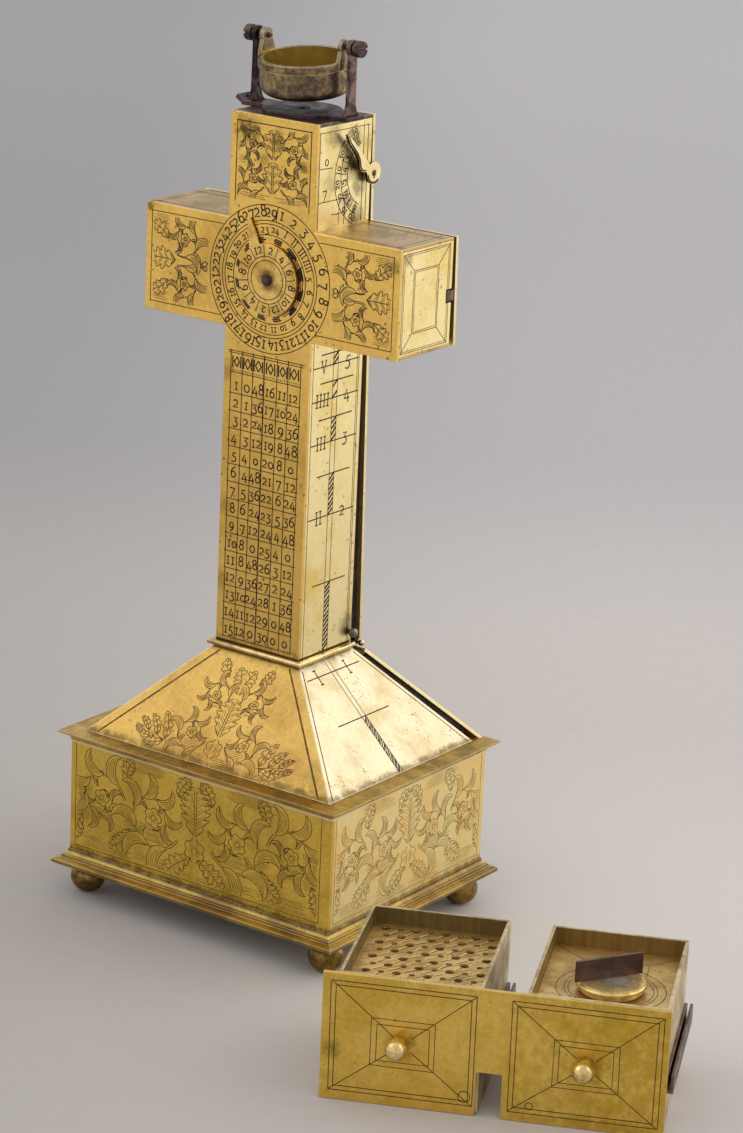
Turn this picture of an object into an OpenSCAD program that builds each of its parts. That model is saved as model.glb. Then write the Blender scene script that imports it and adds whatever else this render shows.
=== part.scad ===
// Crucifix sundial of gilt sheet brass: a hollow cross on a hipped foot and a box base,
// with a lunar dial, an index hand, a swinging compass bowl, a hinged back and a writing drawer.
// +Z is up, the origin is on the table under the middle of the base, the dial faces -Y.

/* [Cross] */
// Width of the shaft, the arms' root and the head
shaft_w = 30; // [29:0.5:31]
// Depth of the cross from front to back
cross_d = 25; // [24:0.5:26]
// Span over both arms
arm_span = 88.8; // [86:0.2:91]
// Height of each arm from its underside to its top
arm_h = 31; // [29:0.5:33]
// Height of the shaft's foot above the table
shaft_foot_z = 80; // [79:0.5:81]
// Height of the arms' underside above the table
arm_z = 173; // [165:1:176]
// Height of the head's top above the table
head_top_z = 234; // [230:1:240]
// Thickness of the sheet brass of the cross
sheet_t = 1.0; // [0.9:0.05:1.1]

/* [Foot and base] */
// Width of the base box over its side walls
base_w = 95; // [94.6:0.1:95.4]
// Depth of the base box over its front wall
base_d = 75; // [74:0.5:76]
// Height of the base walls' lower edge above the table
wall_foot_z = 9.0; // [8.8:0.1:9.2]
// Height of the base walls' upper edge above the table
wall_top_z = 49.3; // [49.3:0.1:49.8]
// Thickness of the base walls
wall_t = 1.2; // [1.1:0.05:1.25]
// Width of the hipped roof at its foot
roof_w = 89; // [88:0.5:90]
// Depth of the hipped roof at its foot
roof_d = 70; // [69:0.5:71]
// Largest radius of a bun foot
foot_r = 5.2; // [4.8:0.1:5.4]

/* [Back cover and flap] */
// Distance of the hinge axis behind the middle of the cross
hinge_y = 18.1; // [18.0:0.1:18.3]
// Height of the hinge axis above the table
hinge_z = 78; // [77.9:0.1:78.1]
// Lean of the closed back cover towards the head
cover_lean = 1.5; // [1.4:0.02:1.54]
// Radius of the hinge pin
hinge_pin_r = 0.45; // [0.4:0.05:0.5]

/* [Dial and hand] */
// Radius of the turning lunar disc
lunar_r = 10.2; // [9.5:0.1:10.6]
// Reach of the lunar disc's pointer
lunar_reach = 18.0; // [17:0.1:19]
// Turn of the pointer from straight up, towards the left
lunar_turn = 23.4; // [0:0.1:40]
// Length of the index hand from its rivet to its tip
hand_l = 17.6; // [16:0.1:18.5]

/* [Compass] */
// Outer radius of the compass bowl
bowl_r = 13.2; // [12.6:0.1:13.4]
// Height of the compass bowl
bowl_h = 10.2; // [9:0.1:10.6]
// Height of the bowl's pivots above the head
pivot_rise = 19.8; // [19.4:0.1:21]
// Tilt at which the bowl hangs, front edge down
bowl_tilt = 6; // [0:0.5:10]

/* [Drawer] */
// Width of the drawer's front plate
drawer_w = 90.3; // [90:0.1:90.6]
// Height of the drawer
drawer_h = 35.5; // [35:0.1:35.6]
// Length of the drawer's two boxes behind the front plate
box_l = 46; // [44:0.5:47]
// Distance to the right at which the drawer lies
drawer_x = 91.5; // [88:0.5:110]
// Distance to the front at which the drawer lies
drawer_y = -99.4; // [-130:0.1:-95]
// Turn of the drawer where it lies
drawer_turn = 25.25; // [0:0.25:45]

/* [Hidden] */
$fn = 64;

brass = "#c9a54e";
pale_brass = "#e3cf8a";
dull_brass = "#8a7448";
dark_bronze = "#574835";
steel_grey = "#6f6a62";

running = 0.05;
mitre_gap = 0.03;
eps = 0.01;

shaft_hw = shaft_w / 2;
cross_hd = cross_d / 2;
arm_hs = arm_span / 2;
arm_top_z = arm_z + arm_h;
dial_z = arm_z + arm_h / 2;
back_y = cross_hd;
in_y = -cross_hd + sheet_t;
in_x = shaft_hw - sheet_t;
side_d = cross_d - sheet_t;

base_hw = base_w / 2;
base_hd = base_d / 2;
bay_hw = base_hw - wall_t;
floor_t = 1.2;
ledge_t = 1.0;
cornice_z = wall_top_z + ledge_t;
collar_z = shaft_foot_z - 1.6;
roof_hw = roof_w / 2;
roof_hd = roof_d / 2;
roof_rise = collar_z - cornice_z;
roof_angle = atan2(roof_rise, roof_hd - cross_hd);

cover_t = 1.0;
cover_set = 0.15;
flap_set = 0.7;
flap_l = 34.2;
flap_end = 37;
knuckle_r = 1.1;

// A strip along the back side, mitred at both ends; the profile is drawn as
// outward distance from the wall against height. gap keeps neighbouring strips apart.
module mitred_strip(half_len, offset, z0, z1, reach_in, reach_out, gap = mitre_gap) {
  intersection() {
    rotate([90, 0, 90])
      translate([0, 0, -half_len - reach_out])
        linear_extrude(2 * (half_len + reach_out))
          translate([offset, 0])
            children();
    translate([0, 0, z0])
      linear_extrude(z1 - z0)
        polygon([
          [-(half_len - reach_in - gap), offset - reach_in],
          [half_len - reach_in - gap, offset - reach_in],
          [half_len + reach_out - gap, offset + reach_out],
          [-(half_len + reach_out - gap), offset + reach_out]
        ]);
  }
}

// Turns a strip made for the back: 0 back, 1 left, 2 front, 3 right.
module on_side(side) {
  rotate([0, 0, 90 * side])
    children();
}

// A rod along X, from x0 to x1, at a height and depth.
module rod_x(x0, x1, y, z, r) {
  translate([x0, y, z])
    rotate([0, 90, 0])
      cylinder(r = r, h = x1 - x0);
}

// A rod along Y, from y0 to y1.
module rod_y(x, z, y0, y1, r) {
  translate([x, y1, z])
    rotate([90, 0, 0])
      cylinder(r = r, h = y1 - y0);
}

// A box from its low corner to its high corner.
module block(low, high) {
  translate(low)
    cube(high - low);
}

// Outline of the cross as seen from the front, grown or shrunk by d.
function cross_outline(z_low, z_high, d = 0) = [
  [-shaft_hw - d, z_low], [shaft_hw + d, z_low], [shaft_hw + d, arm_z - d],
  [arm_hs + d, arm_z - d], [arm_hs + d, arm_top_z + d], [shaft_hw + d, arm_top_z + d],
  [shaft_hw + d, z_high], [-shaft_hw - d, z_high], [-shaft_hw - d, arm_top_z + d],
  [-arm_hs - d, arm_top_z + d], [-arm_hs - d, arm_z - d], [-shaft_hw - d, arm_z - d]
];

// The cross: sheets butted behind one cross-shaped front plate.

dial_rivet_r = 1.0;

module front_plate() {
  color(brass)
    difference() {
      translate([0, in_y, 0])
        rotate([90, 0, 0])
          linear_extrude(sheet_t)
            polygon(cross_outline(shaft_foot_z, head_top_z));
      rod_y(0, dial_z, -cross_hd - 1, in_y + 1, dial_rivet_r);
    }
}

lock_y = 11.55;
lock_z = 83;
lock_r = 0.6;

module shaft_side(side) {
  color(pale_brass)
    difference() {
      translate([side > 0 ? in_x : -shaft_hw, in_y, shaft_foot_z])
        cube([sheet_t, side_d, arm_z - shaft_foot_z]);
      rod_x(-shaft_w, shaft_w, lock_y, lock_z, lock_r + running);
    }
}

module shaft_side_left() {
  shaft_side(-1);
}

module shaft_side_right() {
  shaft_side(1);
}

// Top or underside sheet of an arm, from the shaft out to the end sheet.
module arm_deck(side, z) {
  color(dull_brass)
    translate([side > 0 ? in_x : -arm_hs, in_y, z])
      cube([arm_hs - in_x, side_d, sheet_t]);
}

module arm_top_left() {
  arm_deck(-1, arm_top_z - sheet_t);
}

module arm_top_right() {
  arm_deck(1, arm_top_z - sheet_t);
}

module arm_underside_left() {
  arm_deck(-1, arm_z);
}

module arm_underside_right() {
  arm_deck(1, arm_z);
}

catch_low = 185.6;
catch_high = 189.5;
catch_deep = 2.6;

// End sheet of an arm, notched at the back edge for the cover's catch.
module arm_end(side) {
  x0 = side > 0 ? arm_hs - sheet_t : -arm_hs;
  color(pale_brass)
    difference() {
      translate([x0, in_y, arm_z + sheet_t])
        cube([sheet_t, side_d, arm_h - 2 * sheet_t]);
      translate([x0 - 1, back_y - catch_deep, catch_low])
        cube([sheet_t + 2, catch_deep + 1, catch_high - catch_low]);
    }
}

module arm_end_left() {
  arm_end(-1);
}

module arm_end_right() {
  arm_end(1);
}

hand_y = 11.2;
hand_z = 218;
hand_rivet_r = 0.7;

module head_side(side) {
  color(pale_brass)
    translate([side > 0 ? in_x : -shaft_hw, in_y, arm_top_z])
      cube([sheet_t, side_d, head_top_z - sheet_t - arm_top_z]);
}

module head_side_left() {
  head_side(-1);
}

module head_side_right() {
  difference() {
    head_side(1);
    rod_x(0, shaft_w, hand_y, hand_z, hand_rivet_r);
  }
}

yoke_screw_r = 1.0;

module head_cap() {
  color(dull_brass)
    difference() {
      translate([-shaft_hw, in_y, head_top_z - sheet_t])
        cube([shaft_w, side_d, sheet_t]);
      translate([0, 0, head_top_z - 2])
        cylinder(r = yoke_screw_r, h = 4);
    }
}

// Collar: a plate that closes the shaft's foot, with a rounded bead on three sides
// and two lugs through which the retaining pin locks the shaft.

bead_r = 0.8;
bead_out = 1.1;

module collar_bead() {
  translate([0, collar_z])
    square([bead_out, 2 * bead_r]);
  translate([bead_out, collar_z + bead_r])
    circle(r = bead_r);
}

module collar_plate() {
  lug_in = 12.7;
  lug_out = 13.8;
  lug_front = 7.5;
  lug_h = 6;
  color(brass) {
    difference() {
      union() {
        block([-shaft_hw, -cross_hd, collar_z], [shaft_hw, back_y, shaft_foot_z]);
        for (s = [-1, 1])
          translate([s > 0 ? lug_in : -lug_out, lug_front, shaft_foot_z - eps])
            cube([lug_out - lug_in, lock_y + 0.9 - lug_front, lug_h]);
        for (side = [1, 2, 3])
          on_side(side)
            intersection() {
              mitred_strip(side == 2 ? shaft_hw : cross_hd, side == 2 ? cross_hd : shaft_hw,
                collar_z, shaft_foot_z, 0, 2, 0)
                collar_bead();
              // the side beads stop at the open back
              if (side == 2)
                cube(200, center = true);
              else
                translate([side == 1 ? -100 : -back_y, 0, 0])
                  cube([100 + back_y, 100, 200]);
            }
      }
      rod_x(-shaft_w, shaft_w, lock_y, lock_z, lock_r + running);
    }
  }
}

// Hipped roof: three sloping sheets, cut where they meet over the hips.

// Drawn for the back side: foot at y = run, rising to y = head_y under the collar.
module slope(foot_hw, head_hw, run, head_y) {
  a = atan2(roof_rise, run - head_y);
  inward = sheet_t / sin(a) + 0.2;
  hip = (foot_hw - head_hw) / (run - head_y);
  intersection() {
    translate([0, run, cornice_z])
      rotate([90 - a, 0, 0])
        translate([-100, -sheet_t, -20])
          cube([200, sheet_t, 100]);
    translate([0, 0, cornice_z])
      linear_extrude(roof_rise)
        polygon([
          [-foot_hw, run], [foot_hw, run],
          [head_hw - hip * inward, head_y - inward], [-head_hw + hip * inward, head_y - inward]
        ]);
  }
}

module roof_front() {
  color(brass)
    on_side(2)
      slope(roof_hw - mitre_gap, shaft_hw - mitre_gap, roof_hd, cross_hd);
}

module roof_left() {
  color(pale_brass)
    on_side(1)
      slope(roof_hd - mitre_gap, cross_hd - mitre_gap, roof_hw, shaft_hw);
}

module roof_right() {
  color(pale_brass)
    on_side(3)
      slope(roof_hd - mitre_gap, cross_hd - mitre_gap, roof_hw, shaft_hw);
}

// Cornice: mitred strips with a hollow cove under a thin sharp lip.

lip_out = 3.0;
lip_t = 0.5;
ledge_in = 3.6;

module cornice_profile() {
  polygon(concat(
    [[-ledge_in, wall_top_z], [0, wall_top_z]],
    [for (i = [0:8])
      [lip_out + lip_out * cos(180 - i * 11.25),
       cornice_z - lip_t - lip_out + lip_out * sin(180 - i * 11.25)]],
    [[lip_out, cornice_z], [-ledge_in, cornice_z]]
  ));
}

module cornice_strip(side) {
  on_side(side)
    mitred_strip(side % 2 == 0 ? base_hw : base_hd, side % 2 == 0 ? base_hd : base_hw,
      40, cornice_z, ledge_in, lip_out)
      cornice_profile();
}

module cornice_strips() {
  color(dull_brass)
    for (side = [1, 2, 3])
      cornice_strip(side);
}

// Base box: front and side walls on a floor, open at the back for the drawer.

module base_front() {
  color(brass)
    block([-base_hw, -base_hd, wall_foot_z], [base_hw, -base_hd + wall_t, wall_top_z]);
}

module base_side(side) {
  color(pale_brass)
    translate([side > 0 ? bay_hw : -base_hw, -base_hd + wall_t, wall_foot_z])
      cube([wall_t, base_d - wall_t, wall_top_z - wall_foot_z]);
}

module base_left() {
  base_side(-1);
}

module base_right() {
  base_side(1);
}

foot_x = 44;
foot_y = 33;
foot_rivet_r = 1.1;

module base_floor() {
  color(dull_brass)
    difference() {
      block([-bay_hw, -base_hd + wall_t, wall_foot_z], [bay_hw, base_hd, wall_foot_z + floor_t]);
      for (x = [-foot_x, foot_x], y = [-foot_y, foot_y])
        translate([x, y, 0])
          cylinder(r = foot_rivet_r, h = 20);
    }
}

// Plinth: a two-stepped moulding round all four sides.

module plinth_profile() {
  step_r = 1.4;
  step_z = wall_foot_z + 4.2;
  polygon(concat(
    [[0, wall_foot_z], [3.6, wall_foot_z], [4.0, wall_foot_z + 0.4], [4.0, wall_foot_z + 1.3],
     [3.3, wall_foot_z + 1.7], [1.9, wall_foot_z + 1.9], [1.9, wall_foot_z + 2.8]],
    [for (i = [0:6])
      [0.4 + step_r - step_r * sin(i * 15), step_z - step_r * cos(i * 15)]],
    [[0.4, wall_foot_z + 4.6], [0, wall_foot_z + 4.6]]
  ));
}

module plinth_strips() {
  color(dull_brass)
    for (side = [0:3])
      on_side(side)
        mitred_strip(side % 2 == 0 ? base_hw : base_hd, side % 2 == 0 ? base_hd : base_hw,
          wall_foot_z, 20, 0, 4.0)
          plinth_profile();
}

// Bun feet, riveted through the floor.

module bun_foot() {
  half_h = (wall_foot_z + 0.12) / 2;
  rotate_extrude()
    intersection() {
      translate([0, -0.12])
        union() {
          translate([foot_r - half_h, half_h])
            circle(r = half_h);
          square([foot_r - half_h, 2 * half_h]);
        }
      square([2 * foot_r, wall_foot_z]);
    }
}

module ball_feet() {
  color(brass)
    for (x = [-foot_x, foot_x], y = [-foot_y, foot_y])
      translate([x, y, 0])
        difference() {
          bun_foot();
          translate([0, 0, 4])
            cylinder(r = foot_rivet_r, h = 20);
        }
}

module foot_rivets() {
  color(dull_brass)
    for (x = [-foot_x, foot_x], y = [-foot_y, foot_y])
      translate([x, y, 4]) {
        cylinder(r = foot_rivet_r, h = wall_foot_z + floor_t - 4);
        translate([0, 0, wall_foot_z + floor_t - 4])
          cylinder(r1 = 2.0, r2 = 1.4, h = 0.8);
      }
}

// Two rails that carry the drawer's runners, with a stop at their inner ends.

drawer_lift = 13.7;
runner_low = 12.3;
runner_h = 5.2;
runner_w = 2.3;
rail_gap = 0.1;
home_mid = 46.05;
rail_top = drawer_lift + runner_low - rail_gap;

// A bar from the stop at its inner end to back_edge, with its underside at low.
module rail(x0, x1, low, back_edge) {
  stop_y = base_hd - plate_t - box_l;
  stop_t = 0.8;
  stop_h = 4;
  block([x0, stop_y - stop_t, low], [x1, back_edge, rail_top]);
  block([x0, stop_y - stop_t, rail_top - eps], [x1, stop_y, rail_top + stop_h]);
}

module drawer_rails() {
  color(dull_brass) {
    rail(home_mid - 47.4, home_mid - 41.95, wall_foot_z + floor_t, base_hd - 0.2);
    rail(-bay_hw, home_mid - 89.85, rail_top - 4, base_hd - 1.6);
  }
}

// Hinge behind the collar: one pin carries the back cover and the roof flap.

module knuckle(x0, x1) {
  rod_x(x0, x1, 0, 0, knuckle_r);
}

module hinge_bore() {
  rod_x(-shaft_w, shaft_w, 0, 0, hinge_pin_r + running);
}

module hinge_bracket() {
  leaf_t = 0.8;
  color(dull_brass)
    for (s = [0, 1])
      mirror([s, 0, 0])
        difference() {
          union() {
            block([9, 6, collar_z - leaf_t], [13.2, hinge_y, collar_z]);
            translate([0, hinge_y, hinge_z])
              knuckle(9, 13.2);
          }
          translate([0, hinge_y, hinge_z])
            hinge_bore();
        }
}

module hinge_pin() {
  color(brass)
    translate([0, hinge_y, hinge_z]) {
      rod_x(-14.0, 14.6, 0, 0, hinge_pin_r);
      translate([-14.0, 0, 0])
        sphere(r = 0.8);
      translate([14.9, 0, 0])
        sphere(r = 1.0);
    }
}

// The cover's own frame: x across, y outwards from the hinge axis, z up along the cover.
module cover_frame() {
  translate([0, hinge_y, hinge_z])
    rotate([cover_lean, 0, 0])
      children();
}

cover_gap = 1.5;

module back_cover() {
  color(brass)
    cover_frame()
      difference() {
        union() {
          translate([0, -cover_set, -hinge_z])
            rotate([90, 0, 0])
              linear_extrude(cover_t)
                polygon(cross_outline(hinge_z + cover_gap, head_top_z));
          for (s = [-1, 1]) {
            rod_x(s > 0 ? 4.2 : -8.8, s > 0 ? 8.8 : -4.2, 0, 0, knuckle_r);
            block([s > 0 ? 4.2 : -8.8, -cover_set - cover_t, 0],
              [s > 0 ? 8.8 : -4.2, -cover_set, cover_gap + 1]);
          }
        }
        hinge_bore();
      }
}

// Rim strips on the cover's inside that drop between the walls of the cross.
flange_inset = 1.5;
flange_t = 0.8;
flange_deep = 3.0;

// One strip, from low to high as seen from behind, in table heights.
module rim_strip(low, high) {
  block([low[0], -cover_set - cover_t - flange_deep, low[1] - hinge_z],
    [high[0], -cover_set - cover_t, high[1] - hinge_z]);
}

module cover_flange() {
  shaft_x = shaft_hw - flange_inset;
  arm_x = arm_hs - flange_inset;
  foot = hinge_z + 5;
  head = head_top_z - sheet_t - 0.8;
  arm_low = arm_z + flange_inset;
  arm_high = arm_top_z - flange_inset;
  corner = 0.04;
  rivet_gap = 2.1;
  color(dark_bronze)
    difference() {
      cover_frame() {
        rim_strip([-shaft_x, head - flange_t], [shaft_x, head]);
        for (s = [0, 1])
          mirror([s, 0, 0]) {
            rim_strip([shaft_x - flange_t, foot], [shaft_x, arm_low + flange_t]);
            rim_strip([shaft_x + corner, arm_low], [arm_x - flange_t - corner, arm_low + flange_t]);
            rim_strip([arm_x - flange_t, arm_low], [arm_x, arm_high]);
            rim_strip([shaft_x + corner, arm_high - flange_t], [arm_x - flange_t - corner, arm_high]);
            rim_strip([shaft_x - flange_t, arm_high - flange_t], [shaft_x, head - flange_t - corner]);
          }
      }
      // the strip by the index hand stops on both sides of its rivet
      block([shaft_x - 2, 5, hand_z - rivet_gap], [shaft_x + 2, hinge_y, hand_z + rivet_gap]);
    }
}

// Two bent tongues that snap into the notches of the arm ends.
module cover_catches() {
  tongue_deep = 3.4;
  color(dark_bronze)
    cover_frame()
      for (s = [0, 1])
        mirror([s, 0, 0])
          translate([arm_hs - 1.2, -cover_set - cover_t - tongue_deep, catch_low - hinge_z + 0.5])
            cube([1.0, tongue_deep, catch_high - catch_low - 1.0]);
}

// The flap's own frame: x across, y outwards from the slope, z up along the slope.
module flap_frame() {
  translate([0, hinge_y, hinge_z])
    rotate([90 - roof_angle, 0, 0])
      children();
}

// Half width of the flap at a distance down the slope from the hinge axis.
function flap_hw(s) = shaft_hw + (roof_hw - shaft_hw) * s / flap_l;

module roof_flap() {
  start = 1.5;
  color(brass)
    difference() {
      flap_frame()
        difference() {
          union() {
            translate([0, -flap_set, 0])
              rotate([90, 0, 0])
                linear_extrude(cover_t)
                  polygon([
                    [-flap_hw(start), -start], [-flap_hw(flap_end), -flap_end],
                    [flap_hw(flap_end), -flap_end], [flap_hw(start), -start]
                  ]);
            knuckle(-4, 4);
            block([-4, -flap_set - cover_t, -2.5], [4, -flap_set, 0]);
          }
          hinge_bore();
        }
      // the foot is cut level and stands on the cornice's back length
      block([-roof_w, 0, 0], [roof_w, 2 * base_hd, cornice_z]);
    }
}

// Rim strips under the flap's two sloping edges.
module flap_flange() {
  rim_deep = 2.1;
  start = 3;
  stop = 31;
  outer = 0.8;
  inner = 1.9;
  color(dark_bronze)
    flap_frame()
      translate([0, -flap_set - cover_t, 0])
        rotate([90, 0, 0])
          linear_extrude(rim_deep)
            for (s = [-1, 1])
              polygon([
                [s * (flap_hw(start) - outer), -start], [s * (flap_hw(stop) - outer), -stop],
                [s * (flap_hw(stop) - inner), -stop], [s * (flap_hw(start) - inner), -start]
              ]);
}

// The cornice's back length hangs on the flap and lifts with it.
module flap_cornice() {
  color(dull_brass)
    difference() {
      translate([0, 0.15, 0])
        cornice_strip(0);
      block([-base_hw, 0, 0], [base_hw, base_hd + 0.1, wall_top_z + 0.15]);
    }
}

// Lunar dial: a disc with a pointer, on a rivet through the front plate.

module dial_washer() {
  color(dull_brass)
    difference() {
      rod_y(0, dial_z, -cross_hd - 0.3, -cross_hd, 2.5);
      rod_y(0, dial_z, -cross_hd - 1, -cross_hd + 1, dial_rivet_r);
    }
}

module lunar_disc() {
  disc_t = 0.8;
  tip_hw = 0.5;
  root_hw = 3.4;
  color(brass)
    translate([0, -cross_hd - 0.3, dial_z])
      rotate([90, 0, 0])
        linear_extrude(disc_t)
          difference() {
            union() {
              circle(r = lunar_r);
              rotate(lunar_turn)
                polygon([[-root_hw, 8], [root_hw * 0.35, 8], [tip_hw, lunar_reach], [-tip_hw, lunar_reach]]);
            }
            circle(r = dial_rivet_r + running);
          }
}

// Domed rivet with a peened end inside the sheet, turned about its own Z axis.
module rivet(shank_r, grip, head_r, head_h, tail_r, tail_h) {
  rotate_extrude()
    union() {
      translate([0, -tail_h])
        square([tail_r, tail_h]);
      translate([0, -eps])
        square([shank_r, grip + 2 * eps]);
      intersection() {
        translate([0, grip])
          square([head_r, head_h]);
        translate([0, grip + head_h - (head_r * head_r + head_h * head_h) / (2 * head_h)])
          circle(r = (head_r * head_r + head_h * head_h) / (2 * head_h));
      }
    }
}

module dial_rivet() {
  color(steel_grey)
    translate([0, in_y, dial_z])
      rotate([90, 0, 0])
        rivet(dial_rivet_r, sheet_t + 0.3 + 0.8 + 0.05, 1.75, 1.0, 1.8, 0.7);
}

// Index hand on the head's right side: a hub and a bellied leaf with one straight edge.
hand_stand = 1.3;
hand_t = 1.0;
hand_turn = 46.3;

module hand_outline() {
  union() {
    circle(r = 3.1);
    polygon([
      [-2.2, 1.6], [0.4, 1.6], [0.5, 9.0], [0.4, 14.3], [0.15, hand_l], [-0.15, hand_l],
      [-1.1, 15.0], [-1.15, 12.3], [-1.3, 9.8], [-1.9, 7.9], [-3.0, 6.4], [-3.1, 4.6],
      [-2.0, 3.3]
    ]);
  }
}

module index_hand() {
  color(pale_brass)
    translate([shaft_hw + hand_stand, hand_y, hand_z])
      rotate([90, 0, 90])
        linear_extrude(hand_t)
          rotate(hand_turn)
            difference() {
              hand_outline();
              circle(r = hand_rivet_r + running);
              translate([-0.8, -0.9])
                circle(r = 0.35);
            }
}

module hand_rivet() {
  color(steel_grey)
    translate([in_x, hand_y, hand_z])
      rotate([0, 90, 0]) {
        rivet(hand_rivet_r, sheet_t + hand_stand + hand_t + 0.05, 1.0, 0.3, 1.3, 0.6);
        translate([0, 0, sheet_t])
          cylinder(r = 1.5, h = hand_stand - 0.02);
      }
}

// Compass: a bowl hung between two pillars on a base bar screwed to the head.

pivot_z = head_top_z + pivot_rise;
pillar_x = 15.7;
pillar_t = 1.4;
yoke_t = 1.2;
pivot_r = 0.8;
screw_head_r = 2.2;
screw_head_h = 0.9;
screw_sunk = 0.7;

module yoke_base() {
  color(dark_bronze)
    difference() {
      union() {
        translate([0, 0, head_top_z])
          linear_extrude(yoke_t)
            union() {
              circle(r = 11.2);
              translate([-18.4, -4])
                square([36.8, 8]);
            }
        // left end turned up
        translate([-18.4, -3.2, head_top_z])
          rotate([0, 30, 0])
            translate([-3.2, 0, 0])
              cube([3.6, 6.4, yoke_t]);
      }
      translate([0, 0, head_top_z - 1])
        cylinder(r = yoke_screw_r, h = 4);
      // recess for the screw's flat head
      translate([0, 0, head_top_z + yoke_t - screw_sunk])
        cylinder(r = screw_head_r + 0.05, h = 4);
      translate([-18.4, 0, head_top_z])
        rotate([0, 30, 0])
          translate([-1.4, 0, -1])
            cylinder(r = 0.8, h = 4);
    }
}

module pillar() {
  eye_r = 2.3;
  foot_z = head_top_z + yoke_t;
  rotate([90, 0, 90])
    linear_extrude(pillar_t)
      difference() {
        union() {
          translate([0, pivot_z])
            circle(r = eye_r);
          polygon([
            [-3.4, foot_z], [3.4, foot_z], [2.4, foot_z + 0.9], [1.6, foot_z + 3],
            [1.4, pivot_z], [-1.4, pivot_z], [-1.6, foot_z + 3], [-2.4, foot_z + 0.9]
          ]);
        }
        translate([0, pivot_z])
          circle(r = pivot_r);
      }
}

module yoke_pillars() {
  color(dark_bronze)
    for (s = [0, 1])
      mirror([s, 0, 0])
        translate([pillar_x, 0, 0])
          pillar();
}

module yoke_screw() {
  color(dull_brass)
    translate([0, 0, head_top_z - sheet_t])
      difference() {
        rivet(yoke_screw_r, sheet_t + yoke_t - screw_sunk, screw_head_r, screw_head_h, 1.8, 0.8);
        translate([-3, -0.25, sheet_t + yoke_t - 0.3])
          cube([6, 0.5, 2]);
      }
}

module pivot_screws() {
  head_r = 2.3;
  head_h = 2.2;
  tip_x = 11.4;
  color(dark_bronze)
    for (s = [0, 1])
      mirror([s, 0, 0])
        translate([0, 0, pivot_z])
          difference() {
            union() {
              rod_x(tip_x + 1.2, pillar_x + pillar_t + 0.6, 0, 0, pivot_r);
              translate([tip_x, 0, 0])
                rotate([0, 90, 0])
                  cylinder(r1 = 0.25, r2 = pivot_r, h = 1.2 + eps);
              translate([pillar_x + pillar_t + 0.6, 0, 0])
                rotate([0, 90, 0])
                  rotate_extrude()
                    intersection() {
                      square([head_r, head_h]);
                      translate([0, head_h / 2])
                        circle(r = head_r + 0.15);
                    }
            }
            translate([pillar_x + pillar_t + 2.2, -3, -0.3])
              cube([2, 6, 0.6]);
          }
}

rim_drop = 4.4;
ear_x = 12.8;
ear_t = 1.3;

module compass_bowl() {
  wall = 1.1;
  corner = 3.0;
  bottom = -rim_drop - bowl_h;
  color(dull_brass)
    translate([0, 0, pivot_z])
      rotate([bowl_tilt, 0, 0])
        difference() {
          union() {
            rotate_extrude()
              difference() {
                union() {
                  translate([0, bottom + corner])
                    square([bowl_r - 0.4, bowl_h - corner]);
                  translate([0, -rim_drop - 2.2])
                    square([bowl_r, 2.2]);
                  translate([0, bottom])
                    square([bowl_r - 0.4 - corner, corner]);
                  translate([bowl_r - 0.4 - corner, bottom + corner])
                    circle(r = corner);
                }
                translate([0, bottom + 1 + corner])
                  square([bowl_r - 0.4 - wall, bowl_h]);
                translate([0, bottom + 1])
                  square([bowl_r - 0.4 - wall - corner, corner + 1]);
                translate([bowl_r - 0.4 - wall - corner, bottom + 1 + corner])
                  circle(r = corner);
              }
            for (s = [-1, 1])
              translate([s > 0 ? ear_x : -ear_x - ear_t, 0, 0])
                rotate([90, 0, 90])
                  linear_extrude(ear_t)
                    union() {
                      circle(r = 2.2);
                      polygon([[-3.4, -rim_drop - 1.6], [3.4, -rim_drop - 1.6], [3.0, -rim_drop + 0.6],
                        [1.9, -0.8], [-1.9, -0.8], [-3.0, -rim_drop + 0.6]]);
                    }
          }
          rod_x(-20, 20, 0, 0, pivot_r + running);
        }
}

// Ball-headed pin through both shaft walls and the collar's lugs.
module retaining_pin() {
  ball_r = 1.45;
  color(steel_grey) {
    rod_x(-shaft_hw - 0.3, shaft_hw + 0.4, lock_y, lock_z, lock_r);
    translate([shaft_hw + ball_r + 0.1, lock_y, lock_z])
      sphere(r = ball_r);
  }
}

// Drawer: one front plate with two boxes, drawn with its front at y = 0 and x to the right.

module drawer_frame() {
  translate([drawer_x, drawer_y, 0])
    rotate([0, 0, drawer_turn])
      children();
}

plate_t = 1.2;
box_t = 0.9;
sander_x = [3.9, 41.7];
ink_x = [53.1, 89.6];
notch_x = [41.0, 47.9];
notch_h = 12.4;
knob_x = [20.5, 69.1];
knob_z = drawer_h / 2;
knob_shank_r = 0.9;
tray_z = drawer_h - 4.8;
box_back = plate_t + box_l;

module drawer_front() {
  color(brass)
    drawer_frame()
      difference() {
        block([0, 0, 0], [drawer_w, plate_t, drawer_h]);
        block([notch_x[0], -1, -1], [notch_x[1], plate_t + 1, notch_h]);
        for (x = knob_x)
          rod_y(x, knob_z, -1, plate_t + 1, knob_shank_r);
      }
}

module drawer_knobs() {
  ball_r = 2.9;
  neck_l = 1.6;
  color(brass)
    drawer_frame()
      for (x = knob_x)
        translate([x, 0, knob_z])
          rotate([90, 0, 0]) {
            translate([0, 0, -plate_t])
              cylinder(r = knob_shank_r, h = plate_t + eps);
            cylinder(r1 = 1.9, r2 = 1.3, h = neck_l);
            translate([0, 0, neck_l + ball_r * 0.85])
              sphere(r = ball_r);
          }
}

module runner(x0) {
  leaf = 0.8;
  difference() {
    block([x0, plate_t, runner_low], [x0 + runner_w, box_back, runner_low + runner_h]);
    block([x0 + leaf, plate_t - 1, runner_low + leaf],
      [x0 + runner_w - leaf, box_back + 1, runner_low + runner_h + 1]);
  }
}

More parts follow.
